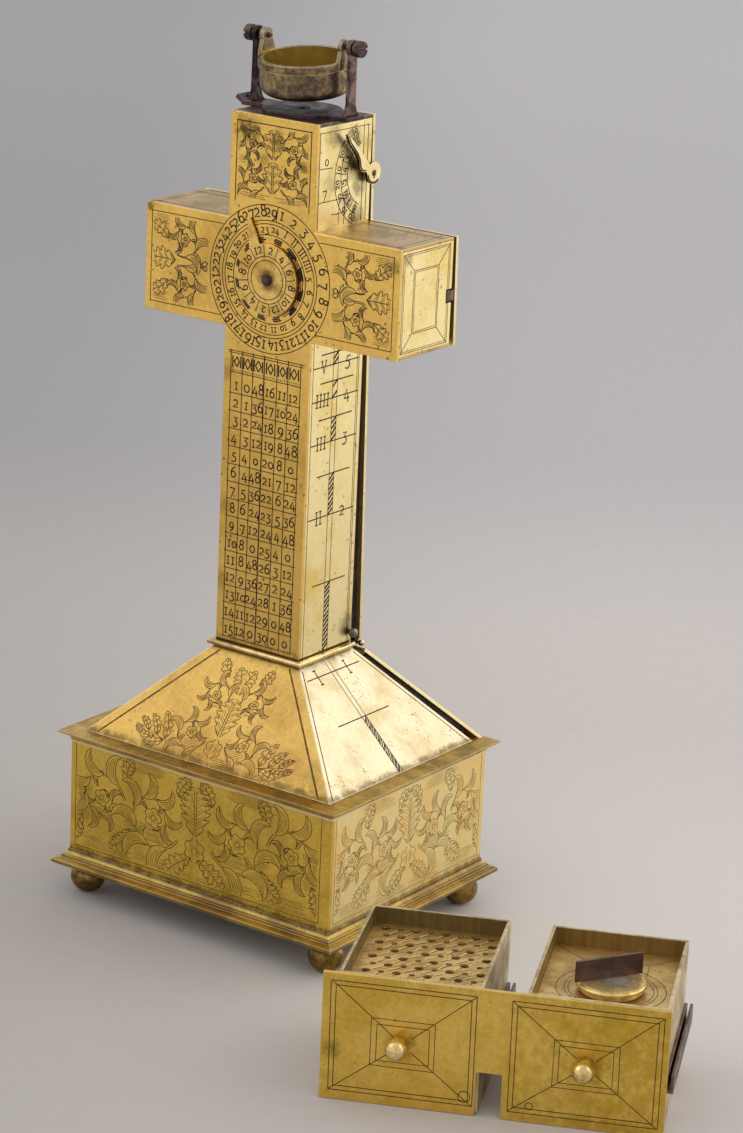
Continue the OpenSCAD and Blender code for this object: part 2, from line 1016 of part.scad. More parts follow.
module drawer_runners() {
  color(dark_bronze)
    drawer_frame() {
      runner(sander_x[1]);
      runner(ink_x[1]);
    }
}

module open_box(x) {
  difference() {
    block([x[0], plate_t, 0], [x[1], box_back, drawer_h]);
    block([x[0] + box_t, plate_t + box_t, box_t], [x[1] - box_t, box_back - box_t, drawer_h + 1]);
  }
}

module sander_box() {
  color(pale_brass)
    drawer_frame()
      open_box(sander_x);
}

// Perforated plate: large and small holes in turn, each row set half a step on.
module sander_plate() {
  rows = 9;
  step_x = 4.1;
  step_y = 4.75;
  across = 8;
  large_r = 0.95;
  small_r = 0.55;
  color(brass)
    drawer_frame()
      translate([sander_x[0] + box_t, plate_t + box_t, tray_z - 1])
        linear_extrude(1)
          difference() {
            square([sander_x[1] - sander_x[0] - 2 * box_t, box_l - 2 * box_t]);
            for (j = [0:rows - 1], i = [0:across - 1])
              translate([3.6 + i * step_x + (j % 2) * step_x / 4, 3.1 + j * step_y])
                circle(r = (i + j) % 2 == 0 ? large_r : small_r);
          }
}

module ink_box() {
  color(pale_brass)
    drawer_frame()
      open_box(ink_x);
}

ink_mid = [72.3, 20.5];
neck_r = 8.1;
lid_r = 9.3;

// Plate over the ink pot, with a raised ring round its mouth.
module ink_plate() {
  color(dull_brass)
    drawer_frame()
      difference() {
        union() {
          block([ink_x[0] + box_t, plate_t + box_t, tray_z - 1],
            [ink_x[1] - box_t, box_back - box_t, tray_z]);
          translate([ink_mid[0], ink_mid[1], tray_z - 0.5])
            cylinder(r = neck_r, h = 0.9);
        }
        translate([ink_mid[0], ink_mid[1], 0])
          cylinder(r = neck_r - 0.9, h = 100);
      }
}

// Ink pot, a thick round cup that the plate closes.
module ink_pot() {
  pot_r = 15;
  pot_wall = 1.8;
  pot_floor = 1;
  color(dull_brass)
    drawer_frame()
      translate([ink_mid[0], ink_mid[1], box_t])
        rotate_extrude()
          difference() {
            square([pot_r, tray_z - 1 - box_t]);
            translate([-1, pot_floor])
              square([pot_r - pot_wall + 1, tray_z]);
          }
}

lid_t = 2.4;

// Lid with a rounded rim and a skirt that plugs the pot's neck.
module ink_lid() {
  rim_r = 0.7;
  skirt_l = 3;
  skirt_r = neck_r - 1.0;
  color(brass)
    drawer_frame()
      translate([ink_mid[0], ink_mid[1], tray_z + 0.45])
        rotate_extrude()
          union() {
            square([lid_r - rim_r, lid_t]);
            translate([lid_r - rim_r, lid_t - rim_r - 0.3])
              circle(r = rim_r);
            translate([skirt_r - 0.8, -skirt_l])
              square([0.8, skirt_l + eps]);
          }
}

// Upright plate across the lid, the grip for lifting it.
module lid_fin() {
  fin_l = 19.6;
  fin_h = 6.0;
  fin_t = 0.8;
  fin_turn = 34.7;
  color(dark_bronze)
    drawer_frame()
      translate([ink_mid[0] - 0.9, ink_mid[1] + 0.9, tray_z + 0.45 + lid_t])
        rotate([0, 0, fin_turn])
          translate([-fin_l / 2, -fin_t / 2, 0])
            cube([fin_l, fin_t, fin_h]);
}

front_plate();
shaft_side_left();
shaft_side_right();
arm_top_left();
arm_top_right();
arm_underside_left();
arm_underside_right();
arm_end_left();
arm_end_right();
head_side_left();
head_side_right();
head_cap();
collar_plate();
roof_front();
roof_left();
roof_right();
cornice_strips();
base_front();
base_left();
base_right();
base_floor();
plinth_strips();
drawer_rails();
ball_feet();
foot_rivets();
hinge_bracket();
hinge_pin();
dial_rivet();
dial_washer();
hand_rivet();
yoke_base();
yoke_pillars();
yoke_screw();
pivot_screws();
back_cover();
cover_flange();
cover_catches();
roof_flap();
flap_flange();
flap_cornice();
lunar_disc();
index_hand();
compass_bowl();
retaining_pin();
drawer_front();
drawer_knobs();
drawer_runners();
sander_box();
sander_plate();
ink_box();
ink_plate();
ink_pot();
ink_lid();
lid_fin();
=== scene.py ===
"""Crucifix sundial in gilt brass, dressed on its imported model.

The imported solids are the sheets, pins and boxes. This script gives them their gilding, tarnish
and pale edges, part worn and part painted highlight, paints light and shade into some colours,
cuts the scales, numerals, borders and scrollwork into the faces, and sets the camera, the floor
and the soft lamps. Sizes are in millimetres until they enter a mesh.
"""

import logging
import math
from dataclasses import dataclass, replace
from enum import Enum

import bpy
import numpy as np
from mathutils import Matrix


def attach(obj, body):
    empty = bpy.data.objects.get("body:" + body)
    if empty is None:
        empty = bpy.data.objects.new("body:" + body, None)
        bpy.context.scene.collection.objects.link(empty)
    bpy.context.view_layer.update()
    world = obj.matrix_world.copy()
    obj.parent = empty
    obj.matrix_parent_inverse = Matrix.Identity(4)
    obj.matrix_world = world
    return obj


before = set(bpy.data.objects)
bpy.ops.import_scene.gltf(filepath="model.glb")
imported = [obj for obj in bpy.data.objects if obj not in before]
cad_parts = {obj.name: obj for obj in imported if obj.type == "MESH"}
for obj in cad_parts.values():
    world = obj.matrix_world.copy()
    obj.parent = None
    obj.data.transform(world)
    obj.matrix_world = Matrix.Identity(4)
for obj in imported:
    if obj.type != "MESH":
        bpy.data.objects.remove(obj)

MM = 0.001
Points = np.ndarray
Pair = tuple[float, float]
Triple = tuple[float, float, float]
Tree = bpy.types.NodeTree
Socket = bpy.types.NodeSocket
Material = bpy.types.Material
log = logging.getLogger("sundial")


# Colour and nodes

SMOOTH = {"interpolation_type": "SMOOTHSTEP"}
COAT = {"data_type": "RGBA"}
SHADE = {"data_type": "RGBA", "blend_type": "MULTIPLY"}


def linear(code: str) -> tuple[float, float, float, float]:
    """Turns an sRGB hex code into linear red, green, blue and alpha.

    Args:
        code: six hex digits.

    Returns:
        The linear colour.
    """
    parts = [int(code[i : i + 2], 16) / 255 for i in (0, 2, 4)]
    return (*(p / 12.92 if p <= 0.04045 else ((p + 0.055) / 1.055) ** 2.4 for p in parts), 1.0)


def blank(name: str) -> tuple[Material, Tree]:
    """Makes a material and empties its node tree.

    Args:
        name: the material's name.

    Returns:
        The material and its node tree.
    """
    material = bpy.data.materials.new(name)
    material.use_nodes = True
    material.node_tree.nodes.clear()
    return material, material.node_tree


def node(
    tree: Tree, kind: str, links: dict | tuple = (), out: int | str = 0, **settings: object
) -> Socket | None:
    """Adds one node with its settings and links.

    Args:
        tree: the material's node tree.
        kind: the node's type without its ShaderNode prefix.
        links: sockets or fixed values for its inputs, in order, or by name or number.
        out: name or number of the output that is wanted.
        settings: the node's own properties.

    Returns:
        That output, or None where the node has none.
    """
    made = tree.nodes.new("ShaderNode" + kind)
    for key, value in settings.items():
        setattr(made, key, value)
    for key, value in (links if isinstance(links, dict) else dict(enumerate(links))).items():
        if isinstance(value, Socket):
            tree.links.new(value, made.inputs[key])
        else:
            made.inputs[key].default_value = value
    return made.outputs[out] if made.outputs else None


@dataclass(frozen=True)
class Noise:
    """A noise pattern: the distance between its features in millimetres, its detail and its roughness."""

    gap: float
    detail: float
    rough: float

    def at(self, place: Socket) -> dict[str, Socket | float]:
        """The noise node's inputs at a place."""
        scale = 1.0 / (self.gap * MM)
        return {"Vector": place, "Scale": scale, "Detail": self.detail, "Roughness": self.rough}


# Patterns by their real sizes: the metal's grain, ragged stains, where pits gather, brush strokes,
# dents in the sheet, wax in the cut lines and the tooth of the paper floor.
GRAIN = Noise(1.3, 3.0, 0.6)
RAGGED = Noise(3.0, 5.0, 0.7)
PITTED = Noise(8.0, 4.0, 0.7)
BRUSHED = Noise(40.0, 2.0, 0.5)
DENTS = Noise(14.0, 1.0, 0.4)
WAX = Noise(2.4, 5.0, 0.65)
PAPER = Noise(6.0, 4.0, 0.6)


# Marks and metals


class Axis(Enum):
    """An axis of the part, by its place in a vector."""

    X = 0
    Y = 1
    Z = 2


def ragged(tree: Tree, place: Socket, near: Socket, strength: float) -> Socket:
    """Breaks up a mark: its nearness swells or shrinks by up to 45 percent with the noise, then steepens.

    Args:
        tree: the material's node tree.
        place: Object coordinates.
        near: nearness to the mark, from 0 to 1.
        strength: the mark's full strength.

    Returns:
        The mark's mask.
    """
    noise = node(tree, "TexNoise", RAGGED.at(place))
    swell = node(tree, "MapRange", (noise, 0.3, 0.7, -0.45, 0.45), **SMOOTH)
    spread = node(tree, "Math", (swell, near, near), operation="MULTIPLY_ADD", use_clamp=True)
    return node(tree, "MapRange", (spread, 0.15, 0.85, 0.0, strength), **SMOOTH)


@dataclass(frozen=True)
class Stain:
    """A round patch of another tone, full at its centre and gone at its radius: stains, and painted shade at the
    head's foot and the bowl's right end.
    """

    centre: Triple
    radius: float
    strength: float
    tone: str = ""

    def mask(self, tree: Tree, place: Socket) -> Socket:
        """Where the patch covers the metal.

        Args:
            tree: the material's node tree.
            place: Object coordinates.

        Returns:
            The mask.
        """
        centre = tuple(c * MM for c in self.centre)
        far = node(tree, "VectorMath", (place, centre), "Value", operation="DISTANCE")
        near = node(tree, "MapRange", (far, self.radius * MM, 0.0))
        return ragged(tree, place, near, self.strength)


@dataclass(frozen=True)
class Soil:
    """A colour that grows along an axis from nothing at one level to full at another, and covers all beyond. On the
    index hand's sides it is painted shade.
    """

    axis: Axis
    clean: float
    dirty: float
    strength: float
    tone: str = ""

    def mask(self, tree: Tree, place: Socket) -> Socket:
        """Where the ramp's colour covers the metal.

        Args:
            tree: the material's node tree.
            place: Object coordinates.

        Returns:
            The mask.
        """
        level = node(tree, "SeparateXYZ", (place,), self.axis.value)
        near = node(tree, "MapRange", (level, self.clean * MM, self.dirty * MM))
        return ragged(tree, place, near, self.strength)


@dataclass(frozen=True)
class Hollow:
    """The inside of a box or a bowl: every face that looks towards its middle."""

    middle: Triple
    strength: float
    tone: str

    def mask(self, tree: Tree, place: Socket) -> Socket:
        """Where the way from the middle to the face runs against the face's normal.

        Args:
            tree: the material's node tree.
            place: Object coordinates.

        Returns:
            The mask.
        """
        middle = tuple(c * MM for c in self.middle)
        away = node(tree, "VectorMath", (place, middle), operation="SUBTRACT")
        facing = node(tree, "TexCoord", out="Normal")
        out = node(tree, "VectorMath", (away, facing), "Value", operation="DOT_PRODUCT")
        return node(tree, "MapRange", (out, -1.0 * MM, 0.0, self.strength, 0.0), **SMOOTH)


@dataclass(frozen=True)
class Metal:
    """A worn metal sheet or casting: metal with clouds of tarnish, pits, scratches and waves."""

    name: str
    base: str
    tarnish: str
    patch: float
    cover: float
    rough: float
    rough_more: float
    # Tone of the pits and of marks that give none: dirt, and painted shade at the head's foot.
    dirt: str = "3a2a12"
    pits: float = 0.0
    pit_gap: float = 2.2
    grain: float = 0.14
    brush: Triple | None = None
    metallic: float = 1.0
    # Tone of the pale edges: part rubbed metal, part painted highlight; empty for none.
    worn: str = "fdf0c0"
    marks: tuple[Stain | Soil | Hollow, ...] = ()

    def build(self) -> Material:
        """Makes the material. Every pattern reads Object coordinates, so it is true to size."""
        material, tree = blank(self.name)
        place = node(tree, "TexCoord", out="Object")
        cloud = node(tree, "TexNoise", Noise(self.patch, 7.0, 0.62).at(place))
        fine = node(tree, "TexNoise", GRAIN.at(place))
        edge = 0.64 - 0.28 * self.cover
        clouded = node(tree, "MapRange", (cloud, edge - 0.1, edge + 0.1), **SMOOTH)
        tones = {0: clouded, 6: linear(self.base), 7: linear(self.tarnish)}
        colour = node(tree, "Mix", tones, 2, **COAT)
        speckle = node(tree, "MapRange", (fine, 0.3, 0.75, 1.0, 1.0 - self.grain), **SMOOTH)
        colour = node(tree, "Mix", {0: 1.0, 6: colour, 7: speckle}, 2, **SHADE)
        coats = [(mark.mask(tree, place), mark.tone or self.dirt) for mark in self.marks]
        if self.pits:
            coats.append((self.pit_mask(tree, place), self.dirt))
        for mask, tone in coats:
            colour = node(tree, "Mix", {0: mask, 6: colour, 7: linear(tone)}, 2, **COAT)
        rough = node(tree, "MapRange", (cloud, 0.3, 0.7, self.rough, self.rough + self.rough_more), **SMOOTH)
        rough = node(tree, "Math", (fine, 0.16, rough), operation="MULTIPLY_ADD")
        rough = node(tree, "Math", (rough, 0.08), operation="SUBTRACT")
        if self.brush:
            turned = node(tree, "Mapping", {"Vector": place, "Scale": self.brush})
            stroke = node(tree, "TexNoise", BRUSHED.at(turned))
            rough = node(tree, "Math", (stroke, 0.22, rough), operation="MULTIPLY_ADD")
            streak = node(tree, "MapRange", (stroke, 0.35, 0.7, 1.0, 0.8), **SMOOTH)
            colour = node(tree, "Mix", {0: 1.0, 6: colour, 7: streak}, 2, **SHADE)
        dents = node(tree, "TexNoise", DENTS.at(place))
        bump = node(tree, "Bump", {"Strength": 1.0, "Distance": 0.05 * MM, "Height": dents})
        skin = node(tree, "Bump", {"Strength": 0.5, "Distance": 0.012 * MM, "Height": fine, "Normal": bump})
        if self.worn:
            colour, rough = self.wear(tree, colour, rough, fine)
        links = {"Base Color": colour, "Roughness": rough, "Normal": skin, "Metallic": self.metallic}
        node(tree, "OutputMaterial", {"Surface": node(tree, "BsdfPrincipled", links)})
        return material

    def wear(self, tree: Tree, colour: Socket, rough: Socket, fine: Socket) -> tuple[Socket, Socket]:
        """Pales the edges and makes them glossy, part rubbed metal and part painted highlight: there the normal,
        rounded off over 0.34 mm, leaves the true one.

        Args:
            tree: the material's node tree.
            colour: the colour so far.
            rough: the roughness so far.
            fine: the grain that breaks the rubbing up.

        Returns:
            The colour and the roughness with rubbed edges that carry a painted highlight.
        """
        rounded = node(tree, "Bevel", {"Radius": 0.34 * MM}, samples=6)
        true = node(tree, "NewGeometry", out="Normal")
        along = node(tree, "VectorMath", (rounded, true), "Value", operation="DOT_PRODUCT")
        broken = node(tree, "Math", (fine, -0.12, along), operation="MULTIPLY_ADD")
        mask = node(tree, "MapRange", (broken, 0.8, 0.93, 0.9, 0.0), **SMOOTH)
        colour = node(tree, "Mix", {0: mask, 6: colour, 7: linear(self.worn)}, 2, **COAT)
        return colour, node(tree, "Mix", {0: mask, 2: rough, 3: 0.2}, data_type="FLOAT")

    def pit_mask(self, tree: Tree, place: Socket) -> Socket:
        """Small pits round random points, thick in some places and absent in others.

        Args:
            tree: the material's node tree.
            place: Object coordinates.

        Returns:
            The mask.
        """
        cells = {"Vector": place, "Scale": 1.0 / (self.pit_gap * MM)}
        far = node(tree, "TexVoronoi", cells, "Distance", feature="F1")
        where = node(tree, "TexNoise", PITTED.at(place))
        reach = node(tree, "MapRange", (where, 0.34, 0.76, 0.03, 0.34), **SMOOTH)
        dot = node(tree, "Math", (reach, far), operation="SUBTRACT")
        return node(tree, "MapRange", (dot, 0.0, 0.06, 0.0, self.pits), **SMOOTH)


@dataclass(frozen=True)
class CutLine:
    """A graver's line filled with wax and old dirt, also used for lines of painted shade: dull, brown and uneven.
    """

    name: str
    dark: str
    pale: str
    metallic: float = 0.2
    rough: float = 0.55

    def build(self) -> Material:
        """Makes the material: two browns in patches a few millimetres wide."""
        material, tree = blank(self.name)
        wax = node(tree, "TexNoise", WAX.at(node(tree, "TexCoord", out="Object")))
        cloud = node(tree, "MapRange", (wax, 0.35, 0.68), **SMOOTH)
        colour = node(tree, "Mix", {0: cloud, 6: linear(self.dark), 7: linear(self.pale)}, 2, **COAT)
        links = {"Base Color": colour, "Metallic": self.metallic, "Roughness": self.rough}
        node(tree, "OutputMaterial", {"Surface": node(tree, "BsdfPrincipled", links)})
        return material


# Faces and cut lines


@dataclass(frozen=True)
class Face:
    """A flat face: u and v run along it, and u turned to v points out of it."""

    origin: Triple
    u: Triple
    v: Triple

    def place(self, flat: Points, lift: float) -> Points:
        """Carries flat points to the part: origin plus u and v times the point, plus the lift outwards."""
        u, v = np.array(self.u, float), np.array(self.v, float)
        return (np.array(self.origin) + flat[:, :1] * u + flat[:, 1:2] * v + lift * np.cross(u, v)) * MM


def arc(cx: float, cy: float, rx: float, ry: float, start: float, end: float, steps: int = 12) -> Points:
    """Points of an ellipse's arc, anticlockwise from start to end in degrees, or clockwise where end is less."""
    turn = np.radians(np.linspace(start, end, steps))
    return np.stack([cx + rx * np.cos(turn), cy + ry * np.sin(turn)], 1)


def path(*points: Pair) -> Points:
    """A polyline as an array."""
    return np.array(points, float)


def corners(left: float, low: float, right: float, high: float) -> Points:
    """The corners of a level rectangle, anticlockwise from its lower left one."""
    return path((left, low), (right, low), (right, high), (left, high))


def serifs(level: float, *spans: Pair) -> list[Points]:
    """Level strokes at one height of a figure, each from the one place to the other."""
    return [path((a, level), (b, level)) for a, b in spans]


class Figures:
    """Old-style cut figures and the Roman I, V and X, as strokes in a box one unit tall."""

    stem = [path((0.2, 0), (0.2, 0.68)), *serifs(0, (0.04, 0.36)), *serifs(0.68, (0.04, 0.36))]
    three = np.vstack([path((0.06, 0.66), (0.5, 0.66), (0.22, 0.36)), arc(0.2, 0.08, 0.28, 0.28, 75, -140, 11)])
    five = np.vstack([path((0.5, 0.7), (0.16, 0.66), (0.1, 0.34)), arc(0.2, 0.08, 0.28, 0.28, 105, -140, 11)])
    glyphs: dict[str, tuple[float, list[Points]]] = {
        "0": (0.56, [arc(0.28, 0.31, 0.25, 0.3, 80, 440, 18)]),
        "1": (0.4, stem),
        "2": (0.56, [np.vstack([arc(0.25, 0.46, 0.21, 0.22, 160, -40, 9), *serifs(0.02, (0.03, 0.54))])]),
        "3": (0.54, [three]),
        "4": (0.58, [path((0.34, 0.7), (0.03, 0.08), (0.58, 0.08)), path((0.42, 0.42), (0.42, -0.24))]),
        "5": (0.5, [five]),
        "6": (0.56, [arc(0.28, 0.28, 0.24, 0.27, 100, 460, 16), arc(0.62, 0.34, 0.58, 0.64, 180, 100, 8)]),
        "7": (0.54, [path((0.03, 0.56), (0.05, 0.66), (0.52, 0.66), (0.2, -0.24))]),
        "8": (0.56, [arc(0.28, 0.24, 0.24, 0.24, 90, 450, 16), arc(0.28, 0.7, 0.19, 0.22, -90, 270, 14)]),
        "9": (0.56, [arc(0.27, 0.4, 0.23, 0.26, 0, 360, 16), arc(-0.06, 0.36, 0.56, 0.6, 0, -75, 8)]),
        "I": (0.34, [path((0.17, 0), (0.17, 1)), *serifs(0, (0.02, 0.32)), *serifs(1, (0.02, 0.32))]),
        "X": (0.66, [path((0.06, 1), (0.6, 0)), path((0.06, 0), (0.6, 1)),
                     *serifs(0, (0, 0.18), (0.48, 0.66)), *serifs(1, (0, 0.18), (0.48, 0.66))]),
        "V": (0.66, [path((0.08, 1), (0.33, 0), (0.58, 1)), *serifs(1, (0, 0.2), (0.48, 0.66))]),
    }
    gap = 0.12
    waist = 0.34

    @classmethod
    def strokes(cls, text: str, size: float) -> list[Points]:
        """The strokes of a text of that height, centred on the middle of its small figures.

        Args:
            text: figures or Roman letters.
            size: height of the box of a figure.

        Returns:
            The strokes.
        """
        at, found = 0.0, []
        for mark in text:
            wide, parts = cls.glyphs[mark]
            found += [p + (at, 0.0) for p in parts]
            at += wide + cls.gap
        return [(p - ((at - cls.gap) / 2, cls.waist)) * size for p in found]


class Pen:
    """Collects the cut lines of one face and makes them one mesh of ribbons.

    The hand's small errors are a line's slip, a figure's tilt in radians, its drift and its share of size.
    """

    slip, tilt, drift, uneven = 0.07, 0.03, 0.1, 0.04

    def __init__(self, face: Face, width: float, seed: int, lift: float = 0.03) -> None:
        """Starts an empty face.

        Args:
            face: the face that carries the lines.
            width: a line's usual width.
            seed: start of the hand's small errors.
            lift: how far the ribbons stand over the sheet.
        """
        self.face, self.width, self.lift = face, width, lift
        self.random = np.random.default_rng(seed)
        self.points: list[Points] = []
        self.quads: list[Points] = []
        self.count = 0

    def line(self, points: Points, width: float | None = None, taper: float = 0.0) -> None:
        """Adds a ribbon: each point is moved half the width to both sides, square to the mean of its two steps.

        Args:
            points: the line's course.
            width: its width, or None for the usual one.
            taper: share of the width lost at both ends.
        """
        step = np.diff(points, axis=0)
        step /= np.maximum(np.linalg.norm(step, axis=1, keepdims=True), 1e-9)
        along = np.vstack([step[:1], step[:-1] + step[1:], step[-1:]])
        along /= np.maximum(np.linalg.norm(along, axis=1, keepdims=True), 1e-9)
        mitre = np.clip((along * np.vstack([step[:1], step])).sum(1), 0.6, 1.0)
        swell = 1 - taper * np.abs(np.linspace(-1, 1, len(points))) ** 2
        half = ((width or self.width) / 2 * swell / mitre)[:, None]
        side = np.stack([-along[:, 1], along[:, 0]], 1) * half
        self.points += [np.stack([points - side, points + side], 1).reshape(-1, 2)]
        first = self.count + 2 * np.arange(len(points) - 1)
        self.quads += [np.stack([first, first + 2, first + 3, first + 1], 1)]
        self.count += 2 * len(points)

    def cut(self, *points: Pair | Points, width: float | None = None) -> None:
        """Adds a straight-sided line through the points, with the hand's small errors at its ends."""
        course = path(*points)
        self.line(course + self.random.normal(0, self.slip, course.shape), width)

    def ring(
        self, centre: Pair | Points, radius: float, width: float, start: float = 0, end: float = 360
    ) -> None:
        """Adds a circle or an arc of it."""
        steps = max(8, int(abs(end - start) * max(radius, 2) / 60))
        self.line(arc(*centre, radius, radius, start, end, steps), width)

    def write(self, text: str, at: Pair | Points, size: float, width: float, turn: float = 0.0) -> None:
        """Cuts figures centred on a point and turned anticlockwise, each a little off as by hand.

        Args:
            text: figures or Roman letters.
            at: middle of the text.
            size: height of the box of a figure.
            width: a stroke's width.
            turn: the text's turn in degrees.
        """
        turn = math.radians(turn) + self.random.normal(0, self.tilt)
        spin = np.array([[math.cos(turn), math.sin(turn)], [-math.sin(turn), math.cos(turn)]])
        at = np.array(at) + self.random.normal(0, self.drift, 2)
        for stroke in Figures.strokes(text, size * (1 + self.random.normal(0, self.uneven))):
            self.line(stroke @ spin + at, width, 0.15)

    def hatch(self, edge_a: Points, edge_b: Points, gap: float, width: float) -> None:
        """Fills the strip between two edges with strokes from one to the other, about gap apart.

        Args:
            edge_a: the two ends of one edge.
            edge_b: the two ends of the other, in the same order.
            gap: distance between strokes.
            width: a stroke's width.
        """
        long = max(np.linalg.norm(edge_a[1] - edge_a[0]), np.linalg.norm(edge_b[1] - edge_b[0]))
        share = np.linspace(0, 1, max(2, int(long / gap)))[:, None]
        jitter = self.random.normal(0, 0.12 / max(long, 1), (2, len(share), 1))
        a = edge_a[0] + (edge_a[1] - edge_a[0]) * np.clip(share + jitter[0], 0, 1)
        b = edge_b[0] + (edge_b[1] - edge_b[0]) * np.clip(share + jitter[1], 0, 1)
        for pair in np.stack([a, b], 1):
            self.line(pair, width)

    def frame(self, field: Points, insets: tuple[float, ...], width: float | None = None) -> list[Points]:
        """Cuts four-sided frames inside a four-sided field.

        Args:
            field: the field's corners, anticlockwise.
            insets: distance of each frame from the field's edge.
            width: the lines' width.

        Returns:
            The corners of each frame. A corner moves in along the bisector by the inset over its angle's sine.
        """
        back = np.roll(field, 1, 0) - field
        ahead = np.roll(field, -1, 0) - field
        back /= np.linalg.norm(back, axis=1, keepdims=True)
        ahead /= np.linalg.norm(ahead, axis=1, keepdims=True)
        cross = np.abs(back[:, :1] * ahead[:, 1:] - back[:, 1:] * ahead[:, :1])
        found = [field + (back + ahead) / cross * inset for inset in insets]
        for square in found:
            for a, b in zip(square, np.roll(square, -1, 0)):
                self.cut(a, b, width=width)
        return found

    def build(self, name: str, body: str, finish: Material) -> None:
        """Makes the mesh, lets it ride on a body and gives it its finish.

        Args:
            name: the mesh's name.
            body: the body that carries it.
            finish: its material.
        """
        flat, quads = np.vstack(self.points), np.vstack(self.quads)
        mesh = bpy.data.meshes.new(name)
        mesh.from_pydata(self.face.place(flat, self.lift), [], quads.tolist())
        mesh.materials.append(finish)
        piece = bpy.data.objects.new(name, mesh)
        bpy.context.scene.collection.objects.link(piece)
        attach(piece, body)
        log.info("%s: %d strokes on %s", name, len(self.points), body)


# Scrollwork


def inside(points: Points, outline: Points) -> Points:
    """Tells which points lie in a closed outline: a level ray from each crosses it an odd number of times.

    Args:
        points: the points to test.
        outline: the outline's corners in their order.

    Returns:
        True for each point inside.
    """
    a, b = outline, np.roll(outline, -1, 0)
    x, y = points[:, :1], points[:, 1:]
    rise = np.where(a[:, 1] == b[:, 1], 1e-9, b[:, 1] - a[:, 1])
    hit = ((a[:, 1] > y) != (b[:, 1] > y)) & (x < a[:, 0] + (y - a[:, 1]) / rise * (b[:, 0] - a[:, 0]))
    return hit.sum(1) % 2 == 1


